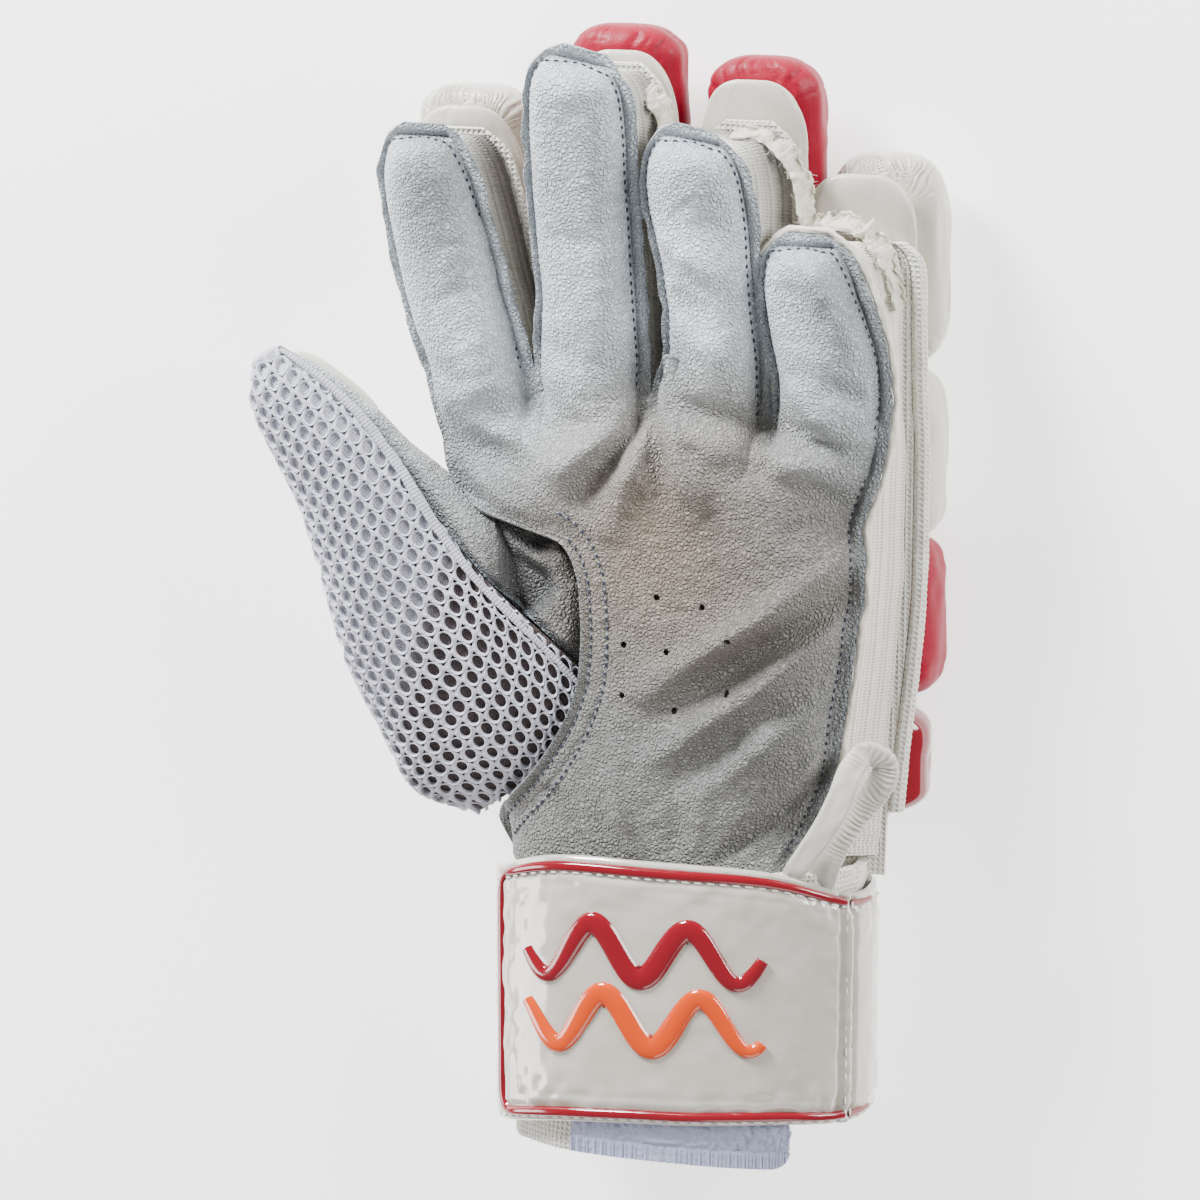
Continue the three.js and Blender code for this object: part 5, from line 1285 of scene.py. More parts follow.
def hair_tree():
    sizes = [("Density", 3.0e5), ("Length", 0.004), ("Thickness", 0.00012)]
    tree, given, out = open_tree("loose_threads", sizes)
    spots = add(tree, "GeometryNodeDistributePointsOnFaces",
                {"Mesh": given.outputs["Geometry"], "Density": given.outputs["Density"],
                 "Seed": given.outputs["Seed"]})
    bow = add(tree, "GeometryNodeCurveQuadraticBezier",
              {"Resolution": 5, "Start": (0, 0, 0), "Middle": (0.5, 0.3, 0.15), "End": (1, 0.1, -0.1)})
    thin = add(tree, "ShaderNodeMath", {0: given.outputs["Thickness"], 1: given.outputs["Length"]},
               operation="DIVIDE")
    ring = add(tree, "GeometryNodeCurvePrimitiveCircle", {"Resolution": 3, "Radius": thin.outputs[0]})
    hair = add(tree, "GeometryNodeCurveToMesh",
               {"Curve": bow.outputs[0], "Profile Curve": ring.outputs[0]})
    spin = add(tree, "FunctionNodeRandomValue",
               {0: (-0.5, -0.5, 0.0), 1: (0.5, 0.5, 6.283), "Seed": given.outputs["Seed"]},
               data_type="FLOAT_VECTOR")
    size = add(tree, "FunctionNodeRandomValue", {2: 0.5, 3: 1.0, "Seed": given.outputs["Seed"]},
               data_type="FLOAT")
    long = add(tree, "ShaderNodeMath", {0: size.outputs[1], 1: given.outputs["Length"]},
               operation="MULTIPLY")
    turned = add(tree, "FunctionNodeEulerToRotation", {0: spin.outputs[0]})
    put = add(tree, "GeometryNodeInstanceOnPoints",
              {"Points": spots.outputs[0], "Instance": hair.outputs[0], "Rotation": turned.outputs[0],
               "Scale": long.outputs[0]})
    return close_tree(tree, given, out, put.outputs[0])


HAIRS = hair_tree()
for seed, (name, route) in enumerate(FRAYS.items()):
    band = build_fray(name, route, 80 + 5 * seed)
    source = bpy.data.objects.new(name + "_hair_source", band.data.copy())
    bpy.context.collection.objects.link(source)
    values = {"Density": 4.0e5, "Length": 0.0022, "Thickness": 0.00007, "Seed": seed + 3}
    threads = run_tree(f"{name}_fray_threads", HAIRS, source, values, COTTON)
    for piece in (band, threads):
        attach(piece, "root")
print("frayed bands with", len(threads.data.polygons), "faces of thread on the last")

# %% [markdown]
# The little finger's leather is bound with a thin rolled edge of white cloth, and a small leather tab
# is folded into the crotch beside the ring finger.
# %% Rolled edge and tab
def build_rolled_edge():
    t = np.concatenate([np.linspace(0.04, 0.99, 90), np.full(40, 1.0), np.linspace(0.99, 0.02, 90)])
    u = np.concatenate([np.full(90, -1.0), np.linspace(-1, 1, 40), np.full(90, 1.0)])
    line = finger_point(3, u, t)[0]
    down = np.linspace(0.02, 0.8, 110)
    still = np.zeros_like(down)
    side = palm_point(still + 1, down, still + root_y[-1], still)[0]
    line = even(np.vstack([line, side]), 420)
    way = np.gradient(line, axis=0)
    way[:, 2] = 0
    way = unit(way)
    out = np.column_stack([-way[:, 1], way[:, 0], 0 * way[:, 0]])
    angle = turns(16)
    far = path_lengths(line)[:, None]
    size = 0.85 + 0.25 * noise(far / 5, angle, 91) + 0.14 * noise(far / 1.2, angle * 2, 92)
    line = line + out * 0.5 - np.array([0, 0, 1.6])
    sideways = (size * np.cos(angle))[..., None] * out[:, None, :]
    rings = line[:, None, :] + sideways + np.stack([0 * size, 0 * size, size * np.sin(angle)], -1)
    facts = {"across": angle * 1.2 + 0 * size, "along": far + 0 * size}
    return loft("little_edge_roll", rings, COTTON, facts, flip=True)


def build_tab():
    u, v = np.meshgrid(np.linspace(0, 1, 12), np.linspace(0, 1, 16))
    x = mix(mix(18.4, 26.0, u), mix(19.2, 24.4, u), v)
    y = mix(mix(54.5, 55.5, u), mix(62.6, 60.2, u), v) + 1.2 * np.sin(pi * u) * v
    z = EDGE_Z + 6.2 + 2.4 * v + 2.2 * np.sin(pi * u) * (1 - 0.4 * v) - 3.2 * u + lift(y)
    points = np.stack([x, y, z], -1)
    quads = facing_up(points, grid_quads(16, 12))
    flange = np.where((u < 0.08) | (u > 0.92) | (v > 0.93), 0.5, 0.0).ravel()
    # Painted shade: the tab is darkened slightly all over.
    facts = {"flange": flange, "tone": 0.1 + 0 * flange}
    return sheet("crotch_tab", points.reshape(-1, 3), quads, 1.0, LEATHER, facts)


edge_roll, tab = build_rolled_edge(), build_tab()
for piece, key in ((edge_roll, "towelling"), (tab, "leather")):
    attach(piece, "root")

# %% [markdown]
# The cloth back lies under the hand. It is a flat piece of towelling with four stalls, and the pads are
# sewn to it.
# %% Cloth back
BACK_COLUMNS = 13
BACK_ROWS = 60
BACK_STALL_ROWS = 49


def build_back():
    us = np.linspace(-1, 1, BACK_COLUMNS)
    top = [stall_point(behind, f, us, np.zeros(BACK_COLUMNS))[0] for f in range(4)]
    xs = np.concatenate([top[0][:, 0]] + [t[1:, 0] for t in top[1:]])
    ys = np.concatenate([top[0][:, 1]] + [t[1:, 1] for t in top[1:]])
    share = (xs - behind["x"][0]) / (behind["x"][-1] - behind["x"][0])
    downs = np.linspace(0, 1, BACK_ROWS)[:, None]
    y = mix(ys[None, :], ROOT_Y, smooth(downs / 0.2)) - downs * PALM_LENGTH
    x = back_edge(share[None, :], downs)
    palm = np.stack([x, y, BACK_TOP + lift(y)], -1)
    points, count = [palm.reshape(-1, 3)], palm[..., 0].size
    quads = [grid_quads(BACK_ROWS, len(xs), flip=True)]
    for f in range(4):
        ts = np.linspace(0, 1, BACK_STALL_ROWS + 1)[1:]
        plan = stall_point(behind, f, us[None, :], ts[:, None])[0]
        fine = np.concatenate([plan, (BACK_TOP + lift(plan[..., 1]))[..., None]], -1)
        points.append(fine.reshape(-1, 3))
        first = f * (BACK_COLUMNS - 1)
        added = count + np.arange(len(points[-1]))
        index = np.vstack([np.arange(first, first + BACK_COLUMNS),
                           added.reshape(BACK_STALL_ROWS, BACK_COLUMNS)])
        quads.append(index_quads(index))
        count += len(points[-1])
    points = np.vstack(points)
    points[:, 2] -= 0.05
    return sheet("back_cloth_towelling", points, np.vstack(quads), 1.35, TOWEL,
                 {"across": points[:, 0], "along": points[:, 1]})


back = build_back()
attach(back, "root")
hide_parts("back_cloth")
print("cloth back has", len(back.data.polygons), "faces")

# %% [markdown]
# Behind the fingers and the hand sit sausages of foam in coated leather. Each is a squared oval that
# narrows to its ends, where the leather is gathered onto the seam: in fine pleats on the index and
# little fingers, and in a few broad ones elsewhere. Each row of pleats holds a count, a roundness and a
# depth.
# %% Padded rolls and pads
ROLL_TOP = 14.0
PAD_LOW = 14.35
PAD_TOP = 20.2
HAND_TOP = 20.35
END_REACH = 13.0
END_SHARE = 0.3
FINE_PLEATS = (64, 1.6, 1.9)
BROAD_PLEATS = (9, 3.0, 1.3)
ROLL_PITCH = 30.4


def leaning(root, shift, length):
    def middle(y):
        part = np.clip((y - ROOT_Y) / length, 0, 1)
        return mix(root, root + shift, smooth(part) * 0.4 + 0.6 * part)
    return middle


def pad(name, node, middle, half_width, start, end, low, high, material, heel=1.0, toe=1.0, sink=2.0,
        pleats=0.45, seed=1, columns=110, rows=90, fine=False):
    s = (1 - np.cos(np.linspace(0, pi, rows))) / 2
    s = np.clip(0.7 * s + 0.3 * np.linspace(0, 1, rows), 0, 1)
    y = mix(start, end, s)
    edge = np.where(s < 0.5, s / END_SHARE, (1 - s) / END_SHARE)
    round_ = np.where(s < 0.5, heel, toe)
    full = (1 - (1 - np.clip(edge, 0, 1)) ** 2.6) ** 0.45
    size = np.maximum(mix(1, full, round_), 0.1)[:, None]
    angle = turns(columns)
    c, n = np.cos(angle), np.sin(angle)
    power = 2 / 2.8
    from_end = np.minimum(s, 1 - s)[:, None] * (end - start)
    centre_y = np.where(s > 0.5, end - END_REACH, start + END_REACH)[:, None]
    over = np.maximum(np.where(s[:, None] > 0.5, y[:, None] - centre_y, centre_y - y[:, None]), 0)
    turn = np.arctan2(over, (half_width + 2) * c + 1e-6)
    count, sharp, deep = FINE_PLEATS if fine else BROAD_PLEATS
    wobble = turn + 0.16 * noise(turn * 2.5, over / 4 + seed, seed) + seed
    ridge = np.abs(np.sin(wobble * count / 2)) ** (1 / sharp)
    small = np.abs(np.sin(wobble * count * 0.83 + 1)) ** (1 / sharp)
    uneven = 0.4 + 0.6 * noise(turn * 3, over / 9, seed + 5) ** 2 + 0.3
    ripple = deep * pleats * (ridge + 0.6 * small - 1.3) * smooth(over / END_REACH * 1.3) * uneven
    ripple *= smooth((size - 0.15) / 0.3)
    slack = 0.35 * noise(angle * 3 + seed, s[:, None] * 6, seed) * smooth(from_end / 4)
    half = (high - low) / 2 + sink / 2
    loose = ripple + slack
    x = middle(y)[:, None] + (half_width - 0.35) * mix(1, size, 0.8) * squared(c, power) + loose * c
    z = high - half + (half - 0.2) * mix(1, size, 0.9) * squared(n, power) + loose * n
    yy = y[:, None] + 0 * angle
    rings = np.stack([x, yy, np.clip(z, low + 0.02, high) + lift(yy)], -1)
    piece = loft(name, rings, material, flip=True)
    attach(piece, "root")
    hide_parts(node)
    return piece


ROLL_HALF = 14.4
HAND_ENDS = [-0.055, 0.297, 0.63]
GAP = 0.6
roll_x = PALM_MIDDLE + 4.9 + (np.arange(4) - 1.5) * ROLL_PITCH
pad_start = ROOT_Y - HAND_ENDS[0] * PALM_LENGTH + GAP
rolls = []
for f, name in enumerate(NAMES):
    cloth_x = behind["x"][f] + CLOTH_SPACING / 2
    tone, key = (RED, "red_pu") if name in ("middle", "ring") else (CREAM, "white_pu")
    outermost = name in ("index", "little")
    base = pad(f"{name}_pad_foam", f"{name}_pad", leaning(cloth_x, BEHIND_LEAN[f], BEHIND_LENGTH[f]),
               13.6, pad_start, ROOT_Y + PAD_REACH[f],
               PAD_LOW, PAD_TOP, CREAM, heel=0.3, sink=0, pleats=0.12, seed=f + 3)
    cuts = ROOT_Y + np.array(ROLL_ENDS[f]) * ROLL_REACH[f]
    middle = leaning(roll_x[f], ROLL_LEAN[f], BEHIND_LENGTH[f])
    for i in range(len(cuts) - 1):
        begin = max(cuts[i], pad_start) + (GAP if i else 0)
        tip_pleats = 0.35 if outermost else 0.9
        roll = pad(f"{name}_roll_{i + 1}_foam", f"{name}_roll_{i + 1}", middle, ROLL_HALF, begin,
                   cuts[i + 1], 0, ROLL_TOP, tone,
                   pleats=tip_pleats if i == len(cuts) - 2 else 0.4, seed=10 * f + i,
                   fine=outermost, columns=260 if outermost else 120, rows=120)
        rolls.append(roll)

right_x = roll_x[-1] + ROLL_HALF
for f, name in enumerate(NAMES):
    def narrow(y):
        return mix(1, 0.93, smooth((ROOT_Y - y) / PALM_LENGTH / 0.6))

    def middle(y, f=f):
        return right_x - (ROLL_HALF + (3 - f) * ROLL_PITCH) * narrow(y)

    for i, row in enumerate(("upper", "lower")):
        begin = ROOT_Y - HAND_ENDS[i + 1] * PALM_LENGTH + GAP
        tone, key = (CREAM, "white_pu") if i == 0 else (RED, "red_pu")
        half = (ROLL_PITCH * narrow(begin) - GAP) / 2
        foam = pad(f"hand_pad_{name}_{row}_foam", f"hand_pad_{name}_{row}", middle, half, begin,
                   ROOT_Y - HAND_ENDS[i] * PALM_LENGTH, 0, HAND_TOP, tone, heel=0.6, toe=0.6, pleats=0.35,
                   seed=40 + 2 * f + i)
        rolls.append(foam)
plate_left, plate_right = back_edge(0, 0.9) - 1, right_x - 2.4
plate = pad("back_plate_foam", "back_plate", lambda y: (plate_left + plate_right) / 2 + 0 * y,
            (plate_right - plate_left) / 2,
            ROOT_Y - 0.9 * PALM_LENGTH, ROOT_Y - 0.645 * PALM_LENGTH, 0, HAND_TOP, GLOSS_RED, heel=0.5,
            toe=0.5, pleats=0.15, seed=60, columns=140)
print(len(rolls), "rolls and pads")


# %% [markdown]
# Two short rolls behind the thumb guard it from the ball.
# %% Thumb guard
def thumb_guard(name, node, first, last, seed):
    steps = np.linspace(0, 1, 50)
    s = mix(first + 0.008, last, steps)
    size = np.sqrt(np.maximum(1 - np.abs(2 * steps - 1) ** 4, 0.08))[:, None]
    a, b = thumb_point(s, 0), thumb_point(s, 0.5)
    top = thumb_point(s, 0.75)[:, 2] - 0.4
    across = b - a
    across[:, 2] = 0
    long = np.linalg.norm(across, axis=1, keepdims=True)
    half = long * 0.36 * mix(1, size, 0.8)
    deep = np.minimum(11, top - 1)
    angle = turns(60)
    c, n = np.cos(angle), np.sin(angle)
    ripple = 0.25 * np.sin(angle * 22 + seed) * np.exp(-np.minimum(steps, 1 - steps)[:, None] * 9)
    reach = (half * 0.98 * squared(c, 0.75))[..., None] * (across / long)[:, None, :]
    rings = ((a + b) / 2)[:, None, :] + reach
    tall = (deep / 2)[:, None] * size * 0.98
    rings[..., 2] = (top - deep / 2)[:, None] + tall * squared(n, 0.75) + ripple * np.abs(n)
    piece = loft(name, rings, CREAM)
    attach(piece, "root")
    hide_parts(node)
    return piece


thumb_rolls = [thumb_guard("thumb_roll_base_foam", "thumb_roll_base", 0.3, 0.62, 1),
               thumb_guard("thumb_roll_tip_foam", "thumb_roll_tip", 0.62, 0.97, 2)]
print(len(thumb_rolls), "thumb rolls")


# %% [markdown]
# A rolled hem of cream knit runs down the little finger side, between the knitted wall and the rolls.
# %% Side binding
def build_binding():
    along_stall = stall_point(behind, 3, 1, np.linspace(0.97, 0.2, 14))[0]
    downs = np.linspace(0.04, 0.86, 16)
    palm_y = mix(root_y[-1] - 1.5, ROOT_Y, smooth(downs / 0.2)) - downs * PALM_LENGTH
    along_palm = np.column_stack([back_edge(1, downs), palm_y])
    edge = curve_through(np.vstack([along_stall, along_palm]), 220)
    spine = np.column_stack([edge[:, 0] + 2.0, edge[:, 1], BACK_TOP - 0.75 + lift(edge[:, 1])])
    far = path_lengths(spine)[:, None]
    angle = turns(20)
    ribs = 0.1 * np.sin(far * 2 * pi / 1.6) * np.ones_like(angle)
    radius = 1.55 + ribs + 0.12 * noise(far / 6, angle, 3)
    section = np.stack([1.18 * radius * np.cos(angle), 0 * radius, radius * np.sin(angle)], -1)
    rings = spine[:, None, :] + section
    facts = {"across": np.broadcast_to(angle * 1.5, radius.shape),
             "along": np.broadcast_to(far, radius.shape)}
    return loft("side_binding_hem", rings, TOWEL, facts)


binding = build_binding()
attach(binding, "root")
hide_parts("side_binding")

# %% [markdown]
# The wrist is a tube of towelling with a squared oval section. The same section, grown a little each
# time, gives the loop tape and the strap that wraps over it.
# %% Wrist cuff and tape
def wrist_point(angle, grow, y):
    c, s = np.cos(angle), np.sin(angle)
    x = CUFF_CENTRE_X + (CUFF_HALF_WIDTH + grow) * squared(c, 0.8)
    z = CUFF_CENTRE_Z + (CUFF_HALF_DEPTH + grow) * squared(s, 0.8)
    return np.stack(np.broadcast_arrays(x, y, z), -1)


WRIST_EDGE_Y = ROOT_Y - PALM_LENGTH
CUFF_LENGTH = 70.0
CUFF_ROWS = 90
CUFF_COLUMNS = 240
TAPE_HANG = 10.0
TAPE_ROWS = 150
TAPE_COLUMNS = 130
STRAP_HEIGHT = 66.0
STRAP_LENGTH = 245.0


def cuff_bottom(angle):
    return WRIST_Y - CUFF_LENGTH + 13 * smooth((np.cos(angle) + 0.1) / 0.6)


def build_cuff():
    angle = turns(CUFF_COLUMNS)
    share = np.linspace(0, 1, CUFF_ROWS)[:, None]
    y = mix(WRIST_Y, cuff_bottom(angle), share)
    tuck = -1.2 * np.sin(pi * share) - 0.3 + 0.35 * noise(angle * 6, share * 8, 51)
    mouth = smooth((np.cos(angle) - 0.25) * 4) * smooth((0.16 - share) * 9)
    tuck = mix(tuck, 2.1 + 0.35 * noise(angle * 14, share * 30, 52), mouth)
    y = y + 4.5 * mouth
    points = wrist_point(angle, tuck, y)
    facts = {"across": np.broadcast_to(angle * 32, y.shape).ravel(), "along": y.ravel()}
    quads = grid_quads(CUFF_ROWS, CUFF_COLUMNS, True)
    return sheet("cuff_towelling", points.reshape(-1, 3), quads, 2.3, TOWEL, facts)


def build_tape():
    angle = np.linspace(radians(50), radians(116), TAPE_COLUMNS)[None, :]
    bottom = WRIST_EDGE_Y + 6 - STRAP_HEIGHT - TAPE_HANG
    share = np.linspace(0, 1, TAPE_ROWS)[:, None]
    to_corner = np.clip((radians(58) - angle) / radians(8), 0, 1)
    corner = 4.0 * (1 - np.sqrt(np.clip(1 - to_corner ** 2, 0, 1)))
    y = mix(WRIST_Y - 4, bottom + corner, share)
    from_end = y - bottom
    ribs = 0.22 * np.sin(angle * 46 * 2 * pi) * smooth((4.2 - from_end) * 3)
    loops = 0.35 * noise(angle * 60, y / 0.75, 53) + 0.25 * noise(angle * 25, y / 2, 54)
    pile = loops * smooth((from_end - 4.2) * 3)
    line = -0.35 * hill(from_end - 4.3, 0.5)
    points = wrist_point(angle, 1.5 + ribs + pile + line, y)
    still = np.zeros(TAPE_ROWS * TAPE_COLUMNS)
    quads = grid_quads(TAPE_ROWS, TAPE_COLUMNS)
    return sheet("fastening_tape_pile", points.reshape(-1, 3), quads, 1.0, TAPE,
                 {"across": still, "along": still})


cuff = build_cuff()
tape = build_tape()
for piece, node, key in ((cuff, "cuff", "towelling"), (tape, "fastening_tape", "loop_tape")):
    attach(piece, "root")
    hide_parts(node)

# %% [markdown]
# The strap is white PVC moulded over foam: a flat face with a sunken channel for the red piping, and
# shallow dents that catch the light. Where the free end was folded back, an upright welded seam crosses
# it.
# %% Strap
STRAP_START, STRAP_END = radians(-158), radians(176)
DENSE_ANGLE = np.linspace(STRAP_START, STRAP_END, 4000)
DENSE_ROUND = wrist_point(DENSE_ANGLE, STRAP_GROW, 0 * DENSE_ANGLE)
DENSE_FAR = path_lengths(DENSE_ROUND)


def along_of(far):
    return (np.interp(far, DENSE_FAR, DENSE_ANGLE) - STRAP_START) / (STRAP_END - STRAP_START)


def far_of(along):
    return np.interp(mix(STRAP_START, STRAP_END, along), DENSE_ANGLE, DENSE_FAR)


STRAP_CORNER = 8.0


def below_front(angle):
    return np.clip(1 - np.sin(angle) ** 3, 0, 1) ** 2


def strap_edges(along):
    angle = mix(STRAP_START, STRAP_END, along)
    left = np.clip((1 - along) * STRAP_LENGTH, 0, STRAP_CORNER)
    corner = STRAP_CORNER - np.sqrt(STRAP_CORNER**2 - (STRAP_CORNER - left) ** 2)
    top = WRIST_EDGE_Y + 6 - 8 * below_front(angle) - corner
    bottom = WRIST_EDGE_Y + 6 - STRAP_HEIGHT + 4.2 * np.cos(angle) - 3 * below_front(angle) + corner
    return angle, top, bottom


def strap_point(along, across, above):
    angle, top, bottom = strap_edges(along)
    return wrist_point(angle, STRAP_GROW + above, mix(top, bottom, across))


WELD = 0.545
STRAP_INSET = 2.6
END_INSET = 17.0
STRAP_ROWS = 110
PIPING_RADIUS = 6.5
WAVE_SWING = 6.5
WAVE_ENDS = (0.66, 0.865)


def strap_relief(along, across):
    away = np.minimum(np.minimum(across, 1 - across) * STRAP_HEIGHT, (1 - along) * STRAP_LENGTH)
    edge = -1.2 * (1 - np.sqrt(np.clip(1 - (1 - np.clip(away / 1.5, 0, 1)) ** 2, 0, 1)))
    to_end = np.maximum((1 - along) * STRAP_LENGTH - (END_INSET - STRAP_INSET), 0)
    inner = np.minimum(np.minimum(across, 1 - across) * STRAP_HEIGHT, to_end)
    channel = -0.6 * hill(inner - STRAP_INSET, 1.2) * smooth((along - 0.5) * 60)
    pillow = 0.5 * smooth((inner - 4.5) / 4) + 0.35 * hill(inner - 5.6, 1.0)
    far = along * STRAP_LENGTH
    rough = hill(inner - 6, 6)
    fine_dents = (0.1 + 0.28 * rough) * noise(far / 3.2, across * 20, 62)
    dents = 0.2 * noise(far / 9, across * 7, 61) + fine_dents
    weld_away = np.abs(along - WELD) * STRAP_LENGTH
    weld = 0.75 * hill(weld_away, 1.4) - 0.9 * hill(weld_away - 3.2, 1.0)
    puckers = 0.4 * noise(across * 24, far / 5, 63) * hill(weld_away, 7)
    return edge + channel + (pillow + dents + puckers) * smooth(away / 5) + weld - 0.55


def build_strap():
    along = np.concatenate([np.linspace(0, 0.97, 370), np.linspace(0.971, 1, 36)])[None, :]
    across = np.linspace(0, 1, STRAP_ROWS)[:, None]
    points = strap_point(along, across, strap_relief(along, across))
    return sheet("strap_face", points.reshape(-1, 3), grid_quads(STRAP_ROWS, along.size), 1.7,
                 GLOSS_WHITE)


def strip(name, along, across, width, height, material, base=-0.2, columns=9):
    place = even(np.column_stack([far_of(along), across * STRAP_HEIGHT]), len(along))
    way = unit(np.gradient(place, axis=0))
    side = np.linspace(-1, 1, columns)[None, :]
    wide = np.broadcast_to(width, (len(along),))[:, None]
    sx = along_of(place[:, 0][:, None] - side * wide / 2 * way[:, 1][:, None])
    sy = (place[:, 1][:, None] + side * wide / 2 * way[:, 0][:, None]) / STRAP_HEIGHT
    up = base + height * np.sqrt(np.clip(1 - side**2, 0, 1)) ** 0.7 * np.ones_like(sx)
    points = strap_point(sx, sy, up)
    return sheet(name, points.reshape(-1, 3), grid_quads(len(along), columns, flip=True), 0.8, material)


strap = build_strap()
end = 1 - END_INSET / STRAP_LENGTH
inset = STRAP_INSET / STRAP_HEIGHT
turn = np.linspace(0, pi / 2, 16)
radius_along, radius_across = PIPING_RADIUS / STRAP_LENGTH, PIPING_RADIUS / STRAP_HEIGHT
run = np.linspace(WELD + 0.006, end - radius_along, 160)
first_bend = end - radius_along + radius_along * np.sin(turn[1:])
last_bend = (end - radius_along + radius_along * np.sin(turn[:-1]))[::-1]
piping_along = np.concatenate([run, first_bend, np.full(60, end), last_bend, run[::-1]])
upper_bend = inset + radius_across * (1 - np.cos(turn[1:]))
lower_bend = (1 - inset - radius_across * (1 - np.cos(turn[:-1])))[::-1]
between = np.linspace(inset + radius_across, 1 - inset - radius_across, 62)[1:-1]
piping_across = np.concatenate([np.full(160, inset), upper_bend, between, lower_bend,
                                np.full(160, 1 - inset)])
piping = strip("strap_piping_cord", piping_along, piping_across, 2.5, 1.1, GLOSS_RED, base=-0.8)
side_run = np.linspace(0.487, WELD - 0.006, 60)
for label, level in (("upper", inset), ("lower", 1 - inset)):
    tail = strip(f"strap_piping_tail_{label}", side_run, np.full(60, level), 1.7, 1.0, GLOSS_RED,
                 base=-0.8)
    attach(tail, "root")
wave_at = np.linspace(0, 1, 200)
waves = []
WAVES = [
    ("strap_wave_red_raised", "strap_wave_red", 0.34, 0, GLOSS_RED),
    ("strap_wave_orange_raised", "strap_wave_orange", 0.6, 0.12, ORANGE),
]
for name, node, middle, shift, tone in WAVES:
    along = along_of(mix(far_of(WAVE_ENDS[0]), far_of(WAVE_ENDS[1]), wave_at))
    across = middle + WAVE_SWING / STRAP_HEIGHT * np.sin(2 * pi * (2.5 * wave_at + shift))
    taper = 1.6 + 4.4 * np.sqrt(np.sin(pi * mix(0.02, 0.98, wave_at)))
    waves.append((strip(name, along, across, taper, 1.3, tone, base=-0.2, columns=13), node))
strap_pieces = [
    (strap, "strap", "gloss_white"), (piping, "strap_piping", "gloss_red"),
    (waves[0][0], waves[0][1], "gloss_red"), (waves[1][0], waves[1][1], "gloss_orange"),
]
for piece, node, key in strap_pieces:
    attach(piece, "root")
    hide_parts(node)
print("strap has", len(strap.data.polygons), "faces")

# %% [markdown]
# White stitches follow the piping round the strap, and the weld is pressed with two rows of short
# dashes.
# %% Strap stitches
rim_run = np.linspace(0.45, 1 - 14 / STRAP_LENGTH, 200)
strap_lines = [strap_point(rim_run, np.full(200, level), np.full(200, sunk))
               for level, sunk in ((4.0 / STRAP_HEIGHT, -0.35), (1 - 1.3 / STRAP_HEIGHT, -0.55))]
weld_run = np.linspace(0.05, 0.95, 60)
weld_lines = [strap_point(np.full(60, WELD + side * 1.2 / STRAP_LENGTH), weld_run, np.full(60, -0.05))
              for side in (-1, 1)]
strap_thread = stitch_lines("strap_stitches", strap_lines + weld_lines, 3.0, 2.2, 0.6, WHITE_THREAD)

# %% [markdown]
# The pull loop is a folded strip of white leather: one arm lies smooth and the other is gathered.
# %% Pull loop
LOOP_REACH = 32.5
LOOP_STEPS = 620
LOOP_HALF_THICK = 1.05
LOOP_ROUTE = [
    [-0.3, -0.25, -0.07, 0.13], [-0.205, -0.065, 0.05, 0.14], [-0.13, 0.045, 0.08, 0.15],
    [0.034, 0.302, 0.08, 0.17], [0.135, 0.517, 0.045, 0.18], [0.2, 0.726, -0.005, 0.17],
    [0.3, 0.84, -0.07, 0.16], [0.42, 0.765, -0.125, 0.17], [0.395, 0.62, -0.15, 0.19],
    [0.3, 0.483, -0.14, 0.2], [0.209, 0.372, -0.115, 0.21], [0.12, 0.24, -0.08, 0.21],
    [0.045, 0.1, -0.055, 0.22], [-0.005, -0.03, -0.04, 0.22], [-0.06, -0.22, -0.09, 0.21],
]


def build_loop():
    anchor_x, anchor_z = CUFF_CENTRE_X + CUFF_HALF_WIDTH * 0.9, CUFF_CENTRE_Z + CUFF_HALF_DEPTH * 0.815
    anchor = np.array([anchor_x, WRIST_Y + 7.75, anchor_z])
    route = np.array(LOOP_ROUTE) * LOOP_REACH
    spine = curve_through(route, LOOP_STEPS)
    half = spine[:, 3:] / 2 + 0.3
    spine = spine[:, :3] + anchor
    way = unit(np.gradient(spine, axis=0))
    wide = np.column_stack([-way[:, 1], way[:, 0], 0 * way[:, 0]])
    wide = unit(wide)
    thin = np.cross(way, wide)
    angle = turns(40)
    s = np.linspace(0, 1, LOOP_STEPS)[:, None]
    gathered = smooth((s - 0.42) * 8) * smooth((0.92 - s) * 8)
    waver = 1.2 * np.sin(3 * angle)
    uneven = 0.5 + 0.5 * noise(s * 26, angle, 74)
    fan = np.sin(s * 420 + waver + 4 * noise(s * 40, angle, 72)) * uneven * gathered
    puff = 0.34 * fan + 0.3 * noise(s * 22, angle * 1.5, 71)
    c, n = np.cos(angle), np.sin(angle)
    outward = (half + 0.25 * fan) * squared(c, 0.8)
    upward = (LOOP_HALF_THICK + puff * (0.4 + 0.6 * np.abs(n))) * squared(n, 0.8)
    sideways = outward[..., None] * wide[:, None, :]
    rings = spine[:, None, :] + sideways + upward[..., None] * thin[:, None, :]
    return loft("pull_loop_strip", rings, LOOP_LEATHER)


loop = build_loop()
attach(loop, "root")
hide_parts("pull_loop")

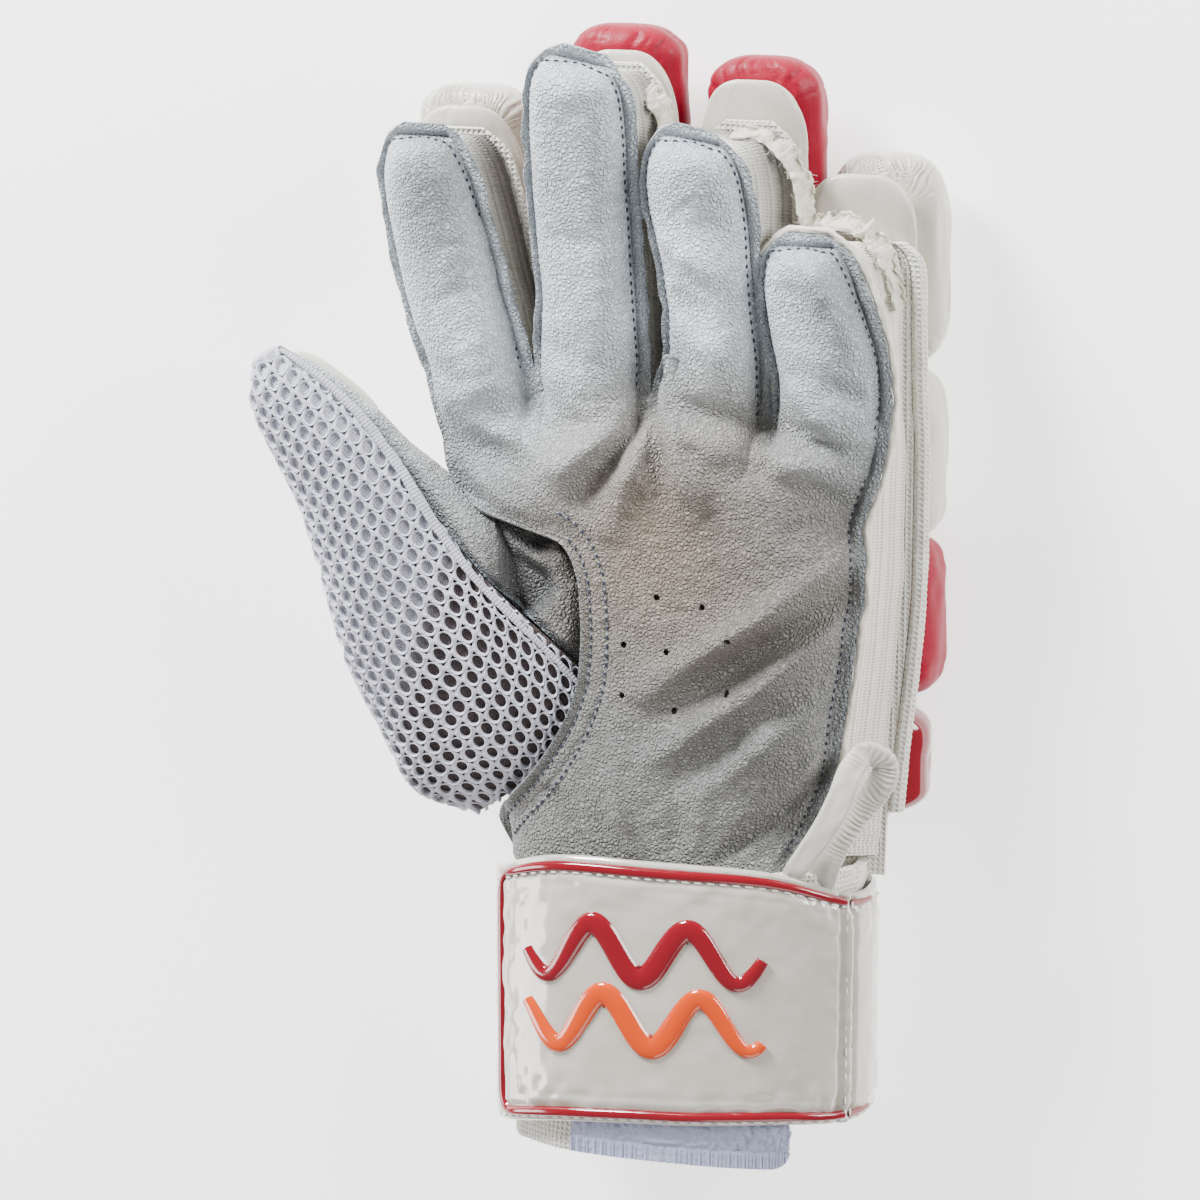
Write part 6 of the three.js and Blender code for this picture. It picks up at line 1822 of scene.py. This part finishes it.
# %% [markdown]
# The scene around the glove: a pale floor, soft light from all round and a little stronger from the
# upper left, and the camera looking down at the palm as in the photograph.
# %% Stage, light and camera
floor_mesh = bpy.data.meshes.new("floor")
floor_mesh.from_pydata([(-3, -3, 0), (3, -3, 0), (3, 3, 0), (-3, 3, 0)], [], [(0, 1, 2, 3)])
floor = bpy.data.objects.new("floor", floor_mesh)
bpy.context.collection.objects.link(floor)
floor.location.z = -0.0005
paper, paper_tree, paper_shader = new_material("paper", Roughness=0.9, Emission_Color=(1, 1, 1, 1),
                                               Emission_Strength=1.5)
tone = use_group(paper_tree, SOIL, Clean=(0.93, 0.93, 0.93, 1), Soiled=(0.91, 0.91, 0.91, 1), Size=3.0,
                 Amount=0.5)
paper_tree.links.new(tone.outputs[0], paper_shader.inputs["Base Color"])
floor_mesh.materials.append(paper)

world = bpy.data.worlds.new("studio")
bpy.context.scene.world = world
world.use_nodes = True
world.node_tree.nodes["Background"].inputs["Color"].default_value = (1, 1, 1, 1)
world.node_tree.nodes["Background"].inputs["Strength"].default_value = 0.33
LIGHTS = [
    ("key", (-0.62, 0.95, 0.5), 0.36, 52, (0.95, 0.975, 1)),
    ("right", (0.95, 0.45, 0.5), 0.5, 16, (1, 1, 1)),
    ("left", (-0.95, -0.3, 0.45), 0.5, 9, (1, 0.98, 0.96)),
    ("low", (0.2, -1.0, 0.6), 0.6, 3, (1, 0.96, 0.9)),
]
for name, place, size, power, colour in LIGHTS:
    data = bpy.data.lights.new(name, "AREA")
    data.size = size
    data.energy = power
    data.color = colour
    light = bpy.data.objects.new(name, data)
    light.location = place
    light.rotation_euler = (Vector((0, 0, 0.02)) - Vector(place)).to_track_quat("-Z", "Y").to_euler()
    bpy.context.collection.objects.link(light)

TILT_X, TILT_Y, DISTANCE = radians(17), radians(14), 1.2
aim = Vector((OFFSET[0] * 0.001, OFFSET[1] * 0.001, 0.03))
back_way = Vector((math.tan(TILT_X), math.tan(TILT_Y), 1)).normalized()
right_way = Vector((back_way.z, 0, -back_way.x)).normalized()
up_way = back_way.cross(right_way)
camera_data = bpy.data.cameras.new("camera")
camera_data.lens = 150
camera_data.sensor_width = 36
camera = bpy.data.objects.new("camera", camera_data)
facing = Matrix((right_way, up_way, back_way)).transposed().to_4x4()
camera.matrix_world = Matrix.Translation(aim + back_way * DISTANCE) @ facing
bpy.context.collection.objects.link(camera)
bpy.context.scene.camera = camera
